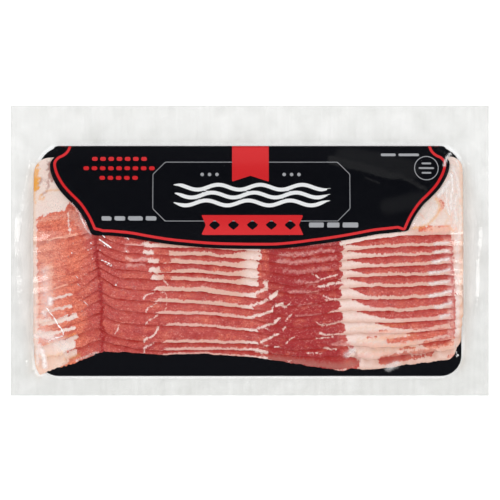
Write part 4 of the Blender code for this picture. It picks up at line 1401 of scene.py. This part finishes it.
def mottle_group() -> bpy.types.NodeTree:
    """Return the shared group of soft mottling, built once.

    Its value is noise on Object coordinates, stretched along the axes and moved so that
    its middle is 0.
    """
    name = "soft_mottle"
    if name in bpy.data.node_groups:
        return bpy.data.node_groups[name]
    tree = bpy.data.node_groups.new(name, "ShaderNodeTree")
    for label, kind, value in (
        ("Scale", "NodeSocketFloat", 500.0),
        ("Stretch", "NodeSocketVector", EVEN),
        ("Detail", "NodeSocketFloat", 3.0),
    ):
        socket = tree.interface.new_socket(label, in_out="INPUT", socket_type=kind)
        socket.default_value = value
    tree.interface.new_socket("Value", in_out="OUTPUT", socket_type="NodeSocketFloat")
    weave = Weave(tree)
    given = weave.add("NodeGroupInput").outputs
    place_at = weave.add("ShaderNodeTexCoord").outputs["Object"]
    scaled = weave.add("ShaderNodeVectorMath", operation="MULTIPLY")
    weave.feed(scaled.inputs[0], place_at)
    weave.feed(scaled.inputs[1], given["Stretch"])
    noise = weave.add("ShaderNodeTexNoise")
    weave.feed(noise.inputs["Vector"], scaled.outputs[0])
    weave.feed(noise.inputs["Scale"], given["Scale"])
    weave.feed(noise.inputs["Detail"], given["Detail"])
    result = weave.add("NodeGroupOutput")
    weave.feed(result.inputs["Value"], weave.sums("SUBTRACT", noise.outputs["Fac"], 0.5))
    return tree


def new_material(name: str) -> tuple[bpy.types.Material, Weave, bpy.types.Node]:
    """Return an empty material, its nodes' weave and its output node."""
    material = bpy.data.materials.new(name)
    material.use_nodes = True
    material.node_tree.nodes.clear()
    weave = Weave(material.node_tree)
    return material, weave, weave.add("ShaderNodeOutputMaterial")


# ---------------------------------------------------------------- finishes


@dataclass(frozen=True)
class Grains:
    """The mottling that lean and fat share, each kind as a node's output."""

    broad: bpy.types.NodeSocket
    coarse: bpy.types.NodeSocket
    fine: bpy.types.NodeSocket
    speck: bpy.types.NodeSocket
    grit: bpy.types.NodeSocket

    @classmethod
    def of(cls, weave: Weave) -> Grains:
        """Return the mottling, added to a material's nodes."""
        coarse, fine = weave.mottle(620, (0.8, 1.2, 1.0)), weave.mottle(1500)
        speck = weave.sums("MULTIPLY_ADD", fine, 1.3, coarse)
        grit = weave.sums("ADD", weave.mottle(1150, detail=2), fine)
        return cls(weave.mottle(300), coarse, fine, speck, grit)


@dataclass(frozen=True)
class BaconFinish:
    """Moist cured pork: pink-red lean, warmer at one end, deep red in a column, and fat."""

    lean: Colour = (0.50, 0.088, 0.074)
    warm_lean: Colour = (0.70, 0.185, 0.112)
    # also the colour of the painted shade along the crease
    deep_lean: Colour = (0.35, 0.026, 0.030)
    fat: Colour = (0.80, 0.63, 0.58)
    warm_fat: Colour = (0.80, 0.68, 0.61)
    thin_fat: Colour = (0.67, 0.41, 0.33)
    pale: Colour = (0.72, 0.38, 0.35)
    warm_pale: Colour = (0.84, 0.48, 0.37)
    stain: Colour = (0.40, 0.16, 0.13)
    # brown of veins and lines, also laid as painted shade along the front slice's edge
    gold: Colour = (0.80, 0.36, 0.07)
    # painted shade beside each next slice's front edge and in the crease: dark red over lean, tan over
    # fat
    seam: Colour = (0.34, 0.014, 0.010)
    fat_painted_shade: Colour = (0.60, 0.36, 0.29)
    glow_radius: Colour = (1.0, 0.35, 0.25)
    glow_depth: float = 0.0008

    def lean_colour(self, weave: Weave, grains: Grains, warmth: object) -> bpy.types.NodeSocket:
        """Return the lean's colour.

        It is warm or deep by its place, and then varied by broad patches, by specks, and by
        a few fine pale threads that follow the middle of a noise.

        Args:
            weave: The material's nodes.
            grains: The mottling that all colours share.
            warmth: How far lean turns to its warm colour.

        Returns:
            The colour's socket.
        """
        depth = weave.sums("MULTIPLY_ADD", grains.broad, 0.7, weave.read("deep"))
        lean = weave.blend(warmth, self.lean, self.warm_lean)
        lean = weave.blend(weave.spread(depth, 0.0, 1.0), lean, self.deep_lean)
        patches = weave.sums("MULTIPLY_ADD", grains.broad, 0.8, weave.mottle(150, (0.8, 1.3, 1.0)))
        lean = weave.blend(weave.spread(patches, 0.02, 0.32, 0, 0.55), lean, self.deep_lean)
        lean = weave.blend(weave.spread(patches, -0.02, -0.32, 0, 0.4), lean, self.warm_lean)
        pale = weave.blend(warmth, self.pale, self.warm_pale)
        lean = weave.blend(weave.spread(grains.speck, 0.08, 0.42, 0, 0.55), lean, pale)
        lean = weave.blend(weave.spread(grains.speck, 0.0, -0.32, 0, 0.6), lean, self.deep_lean)
        near = weave.sums("ABSOLUTE", weave.mottle(420, (1.0, 1.5, 1.0)))
        crossing = weave.spread(grains.broad, 0.03, 0.2)
        thread = weave.sums("MULTIPLY", weave.spread(near, 0.012, 0.002), crossing)
        lean = weave.blend(weave.sums("MULTIPLY", thread, 0.5), lean, self.pale)
        return weave.blend(1.0, lean, weave.spread(grains.grit, -0.35, 0.35, 0.88, 1.14), "MULTIPLY")

    def fat_colour(
        self, weave: Weave, grains: Grains, warmth: object, within: object
    ) -> bpy.types.NodeSocket:
        """Return the fat's colour: darker where thin, and blushing in places and by its border.

        Args:
            weave: The material's nodes.
            grains: The mottling that all colours share.
            warmth: How far fat turns to its warm colour.
            within: How far inside the fat a place lies.

        Returns:
            The colour's socket.
        """
        fat = weave.blend(weave.sums("MULTIPLY", warmth, 0.6), self.fat, self.warm_fat)
        fat = weave.blend(weave.read("thin"), fat, self.thin_fat)
        blush = weave.spread(weave.sums("ADD", grains.broad, grains.coarse), 0.02, 0.5, 0, 0.4)
        fat = weave.blend(blush, fat, self.pale)
        fat = weave.blend(weave.spread(within, 1.1, 0.1, 0, 0.42), fat, self.pale)
        return weave.blend(1.0, fat, weave.spread(grains.grit, -0.35, 0.35, 0.95, 1.05), "MULTIPLY")

    def material(self) -> bpy.types.Material:
        """Return the material.

        Noise at three sizes is added to the painted fat before it is cut to a sharp
        border, so that the border is ragged. Lean and fat have colours of their own, and
        the painted tones lie over both, painted shade beside the slice edges and in the
        crease among them.
        """
        material, weave, output = new_material("cured_pork")
        grains = Grains.of(weave)
        spikes = weave.mottle(1250, (1.3, 0.25, 1.0))
        within = weave.sums("MULTIPLY_ADD", grains.coarse, 1.7, weave.read("fat"))
        within = weave.sums("MULTIPLY_ADD", grains.fine, 1.2, within)
        within = weave.sums("MULTIPLY_ADD", spikes, 1.6, within)
        fatty = weave.spread(within, -0.28, 0.36)
        warmth = weave.sums("MULTIPLY_ADD", grains.broad, 0.9, weave.read("warm"))
        warmth = weave.spread(warmth, 0.0, 1.0)
        lean = self.lean_colour(weave, grains, warmth)
        fat = self.fat_colour(weave, grains, warmth, within)
        flesh = weave.blend(fatty, lean, fat)
        wispy = weave.sums("MULTIPLY_ADD", grains.speck, 1.2, 1.0)
        pale = weave.blend(warmth, self.pale, self.warm_pale)
        flesh = weave.blend(weave.sums("MULTIPLY", weave.read("pale"), wispy), flesh, pale)
        flesh = weave.blend(weave.read("stain"), flesh, self.stain)
        flesh = weave.blend(weave.read("gold"), flesh, self.gold)
        # lay the painted shade, dark red on lean and tan on fat
        line = weave.blend(fatty, self.seam, self.fat_painted_shade)
        flesh = weave.blend(weave.sums("MULTIPLY", weave.read("seam"), 0.9), flesh, line)
        shader = weave.surface(flesh, weave.spread(grains.coarse, -0.3, 0.3, 0.36, 0.52), 0.3)
        shader.inputs["Subsurface Weight"].default_value = 0.1
        shader.inputs["Subsurface Radius"].default_value = self.glow_radius
        shader.inputs["Subsurface Scale"].default_value = self.glow_depth
        height = weave.sums("MULTIPLY_ADD", grains.fine, 0.5, grains.coarse)
        weave.feed(shader.inputs["Normal"], weave.bumped(height, 0.3, 0.0004))
        weave.feed(output.inputs["Surface"], shader.outputs[0])
        return material


@dataclass(frozen=True)
class CardFinish:
    """Black coated card with its flap's print in red, white and grey."""

    black: Colour = (0.0008, 0.0012, 0.0030)
    worn_black: Colour = (0.0022, 0.0026, 0.0052)
    red: Colour = (0.60, 0.016, 0.020)
    white: Colour = (0.78, 0.79, 0.80)
    grey: Colour = (0.34, 0.35, 0.37)
    rim_middle: float = 2.9
    rim_half: float = 0.8
    soft: float = 0.07

    def material(self) -> bpy.types.Material:
        """Return the material: each printed shape is where its distance is under 0."""
        material, weave, output = new_material("printed_black_card")
        grain = weave.mottle(700)
        tint = weave.blend(weave.spread(grain, -0.3, 0.3), self.black, self.worn_black)
        off = weave.sums("ABSOLUTE", weave.sums("SUBTRACT", weave.read("rim"), self.rim_middle))
        rim = weave.spread(off, self.rim_half + 0.06, self.rim_half - 0.06)
        red, white, grey = (
            weave.spread(weave.read(name), self.soft, -self.soft) for name in ("red", "white", "grey")
        )
        red = weave.sums("MAXIMUM", rim, red)
        line = weave.sums("ABSOLUTE", weave.read("panel_line"))
        framing = weave.spread(line, 0.30, 0.14, 0, 0.8)
        ring = weave.spread(weave.sums("ABSOLUTE", weave.read("ring")), 0.32, 0.16)
        grey = weave.sums("MAXIMUM", weave.sums("MAXIMUM", framing, ring), grey)
        colour = weave.blend(grey, tint, self.grey)
        colour = weave.blend(white, colour, self.white)
        colour = weave.blend(red, colour, self.red)
        shader = weave.surface(colour, weave.spread(grain, -0.3, 0.3, 0.32, 0.45), 0.3)
        weave.feed(shader.inputs["Normal"], weave.bumped(grain, 0.08, 0.0002))
        weave.feed(output.inputs["Surface"], shader.outputs[0])
        return material


@dataclass(frozen=True)
class FilmFinish:
    """Clear glossy film, milky where both webs are sealed together."""

    milk: Colour = (0.80, 0.80, 0.78)
    white: Colour = (0.98, 0.97, 0.97)
    tint: Colour = (0.820, 0.823, 0.813)
    untinted: Colour = (1.0, 1.0, 1.0)
    tan: Colour = (0.93, 0.87, 0.81)
    margin_haze: float = 0.10
    clear_haze: float = 0.001
    roughness: float = 0.09

    def material(self) -> bpy.types.Material:
        """Return the material: clear or milky, under a gloss that grows at grazing angles.

        The margin's milk is streaked and clouded. Its tint darkens what is seen through it,
        more towards the bottom and as a painted shadow close to the contents, and beside the
        slice ends it adds a painted tan shadow. Painted lights and fine painted glint dots lie on top.
        """
        material, weave, output = new_material("vacuum_film")
        streak_x = weave.mottle(260, (1.0, 0.08, 1.0), 4)
        cloud = weave.mottle(90, detail=4)
        fine = weave.mottle(420, detail=2)
        grain = weave.mottle(1500, (1.0, 0.8, 1.0), 1)
        milk = weave.sums("MULTIPLY_ADD", streak_x, 2.0, 1.0)
        milk = weave.sums("MULTIPLY_ADD", cloud, 1.6, milk)
        milk = weave.sums("MULTIPLY", milk, self.margin_haze)
        share = weave.sums("MULTIPLY", milk, weave.read("margin"))
        share = weave.sums("MAXIMUM", share, self.clear_haze)
        share = weave.sums("MULTIPLY_ADD", weave.read("hem"), 0.15, share)
        # painted reflection over the flap, laid on as a little milk
        share = weave.sums("MULTIPLY_ADD", weave.read("sheen"), 0.014, share)
        # painted highlights: glint lines, white streaks and fine dots, laid on in white
        gleam = weave.sums("MULTIPLY_ADD", fine, 0.8, weave.read("glint"))
        broken = weave.sums("MULTIPLY_ADD", fine, 0.9, 0.9)
        bright = weave.sums("MULTIPLY", weave.read("frost"), broken)
        gleam = weave.sums("MULTIPLY", weave.spread(gleam, -0.16, 0.16), 0.85)
        bright = weave.sums("MAXIMUM", bright, gleam)
        dots = weave.spread(weave.sums("MULTIPLY_ADD", cloud, 0.5, grain), 0.14, 0.3)
        dots = weave.sums("MULTIPLY", dots, weave.read("wet"))
        bright = weave.sums("MULTIPLY_ADD", dots, 0.25, bright)
        clear = weave.add("ShaderNodeBsdfTransparent")
        shade = weave.sums("MULTIPLY_ADD", cloud, 0.7, 1.0)
        shade = weave.sums("MULTIPLY", shade, weave.read("shade"))
        tint = weave.blend(shade, self.untinted, self.tint)
        tint = weave.blend(weave.read("near"), tint, self.tan, "MULTIPLY")
        weave.feed(clear.inputs["Color"], tint)
        cloudy = weave.add("ShaderNodeBsdfDiffuse")
        weave.feed(cloudy.inputs["Color"], self.milk)
        haze = weave.coated(share, clear.outputs[0], cloudy.outputs[0])
        shine = weave.add("ShaderNodeBsdfDiffuse")
        weave.feed(shine.inputs["Color"], self.white)
        body = weave.coated(bright, haze, shine.outputs[0])
        gloss = weave.add("ShaderNodeBsdfGlossy")
        gloss.inputs["Roughness"].default_value = self.roughness
        weave.feed(gloss.inputs["Normal"], weave.bumped(fine, 0.25, 0.0005))
        facing = weave.add("ShaderNodeLayerWeight").outputs["Facing"]
        rise = weave.sums("POWER", facing, 5.0)
        amount = weave.sums("MULTIPLY_ADD", rise, 0.8, 0.04)
        weave.feed(output.inputs["Surface"], weave.coated(amount, body, gloss.outputs[0]))
        return material


@dataclass(frozen=True)
class FloorFinish:
    """A plain pale studio floor."""

    tint: Colour = (0.9, 0.9, 0.9)
    glow: float = 0.16

    def material(self) -> bpy.types.Material:
        """Return the material: matt, and lit a little from within as paper on a lightbox."""
        material, weave, output = new_material("pale_floor")
        shader = weave.surface(self.tint, 0.9, 0.1)
        weave.feed(shader.inputs["Emission Color"], self.tint)
        shader.inputs["Emission Strength"].default_value = self.glow
        weave.feed(output.inputs["Surface"], shader.outputs[0])
        return material


# ---------------------------------------------------------------- studio


@dataclass(frozen=True)
class Softbox:
    """One soft light: where it stands, how large it is and how bright."""

    name: str
    place: tuple
    size: tuple
    power: float
    glints: bool = True


@dataclass(frozen=True)
class Studio:
    """A pale floor, soft lights and a camera that looks straight down on the pack."""

    view_width: float = 0.3054
    camera_height: float = 4.0
    camera_shift: tuple = (0.00015, 0.00046)
    floor_half: float = 3.0
    floor_drop: float = 0.0002
    lights: tuple = (
        Softbox("overhead", (0, 0, 1.7), (1.8, 1.8), 26.0, False),
        Softbox("left", (-1.3, 0.1, 0.75), (0.25, 1.2), 6.5),
        Softbox("right", (1.3, 0.0, 0.75), (0.25, 1.2), 6.5),
        Softbox("front", (0.0, -1.5, 0.6), (1.2, 0.15), 3.5, False),
    )

    def build_floor(self) -> None:
        """Lay a wide flat floor just under the pack."""
        side = self.floor_half
        mesh = bpy.data.meshes.new("floor")
        corners = [(-side, -side, 0), (side, -side, 0), (side, side, 0), (-side, side, 0)]
        mesh.from_pydata(corners, [], [(0, 1, 2, 3)])
        floor = bpy.data.objects.new("floor", mesh)
        mesh.materials.append(FloorFinish().material())
        bpy.context.scene.collection.objects.link(floor)
        floor.location.z = -self.floor_drop

    def build_lights(self) -> None:
        """Hang the soft lights, each turned to the pack."""
        for box in self.lights:
            data = bpy.data.lights.new(box.name, "AREA")
            data.shape = "RECTANGLE"
            data.size, data.size_y = box.size
            data.energy = box.power
            lamp = bpy.data.objects.new(box.name, data)
            lamp.location = box.place
            lamp.rotation_euler = (-lamp.location).to_track_quat("-Z", "Y").to_euler()
            lamp.visible_glossy = box.glints
            lamp.visible_camera = False
            bpy.context.scene.collection.objects.link(lamp)

    def build_world(self) -> None:
        """Set an even surround: bright to the camera, dim to light, dark to reflections."""
        world = bpy.data.worlds.new("studio")
        world.use_nodes = True
        weave = Weave(world.node_tree)
        surround = world.node_tree.nodes["Background"]
        surround.inputs["Color"].default_value = (1, 1, 1, 1)
        path = weave.add("ShaderNodeLightPath")
        lit = weave.sums("MULTIPLY_ADD", path.outputs["Is Diffuse Ray"], 0.23, 0.02)
        seen = weave.sums("MAXIMUM", lit, path.outputs["Is Camera Ray"])
        weave.feed(surround.inputs["Strength"], seen)
        bpy.context.scene.world = world

    def build_camera(self) -> None:
        """Set the camera over the pack's middle, looking straight down."""
        data = bpy.data.cameras.new("camera")
        data.sensor_width = 36.0
        data.lens = data.sensor_width * self.camera_height / self.view_width
        camera = bpy.data.objects.new("camera", data)
        camera.location = (*self.camera_shift, self.camera_height)
        bpy.context.scene.collection.objects.link(camera)
        bpy.context.scene.camera = camera

    def build(self) -> None:
        """Set up the whole studio."""
        self.build_floor()
        self.build_lights()
        self.build_world()
        self.build_camera()
        bpy.context.scene.view_settings.view_transform = "Standard"


def main() -> None:
    """Build the pack and its studio, and report each piece."""
    logging.basicConfig(level=logging.INFO, format="%(message)s")
    shingle = Shingle()
    card = Card(shingle)
    slices = Slices(shingle, Marbling())
    pork = BaconFinish().material()
    for index in range(shingle.count):
        place(slices.build(index), f"slice_{index + 1:02d}", "bacon", pork)
    place(card.build(), "card", "card", CardFinish().material())
    place(Film(shingle, card).build(), "film", "film", FilmFinish().material())
    Studio().build()


if __name__ == "__main__":
    main()
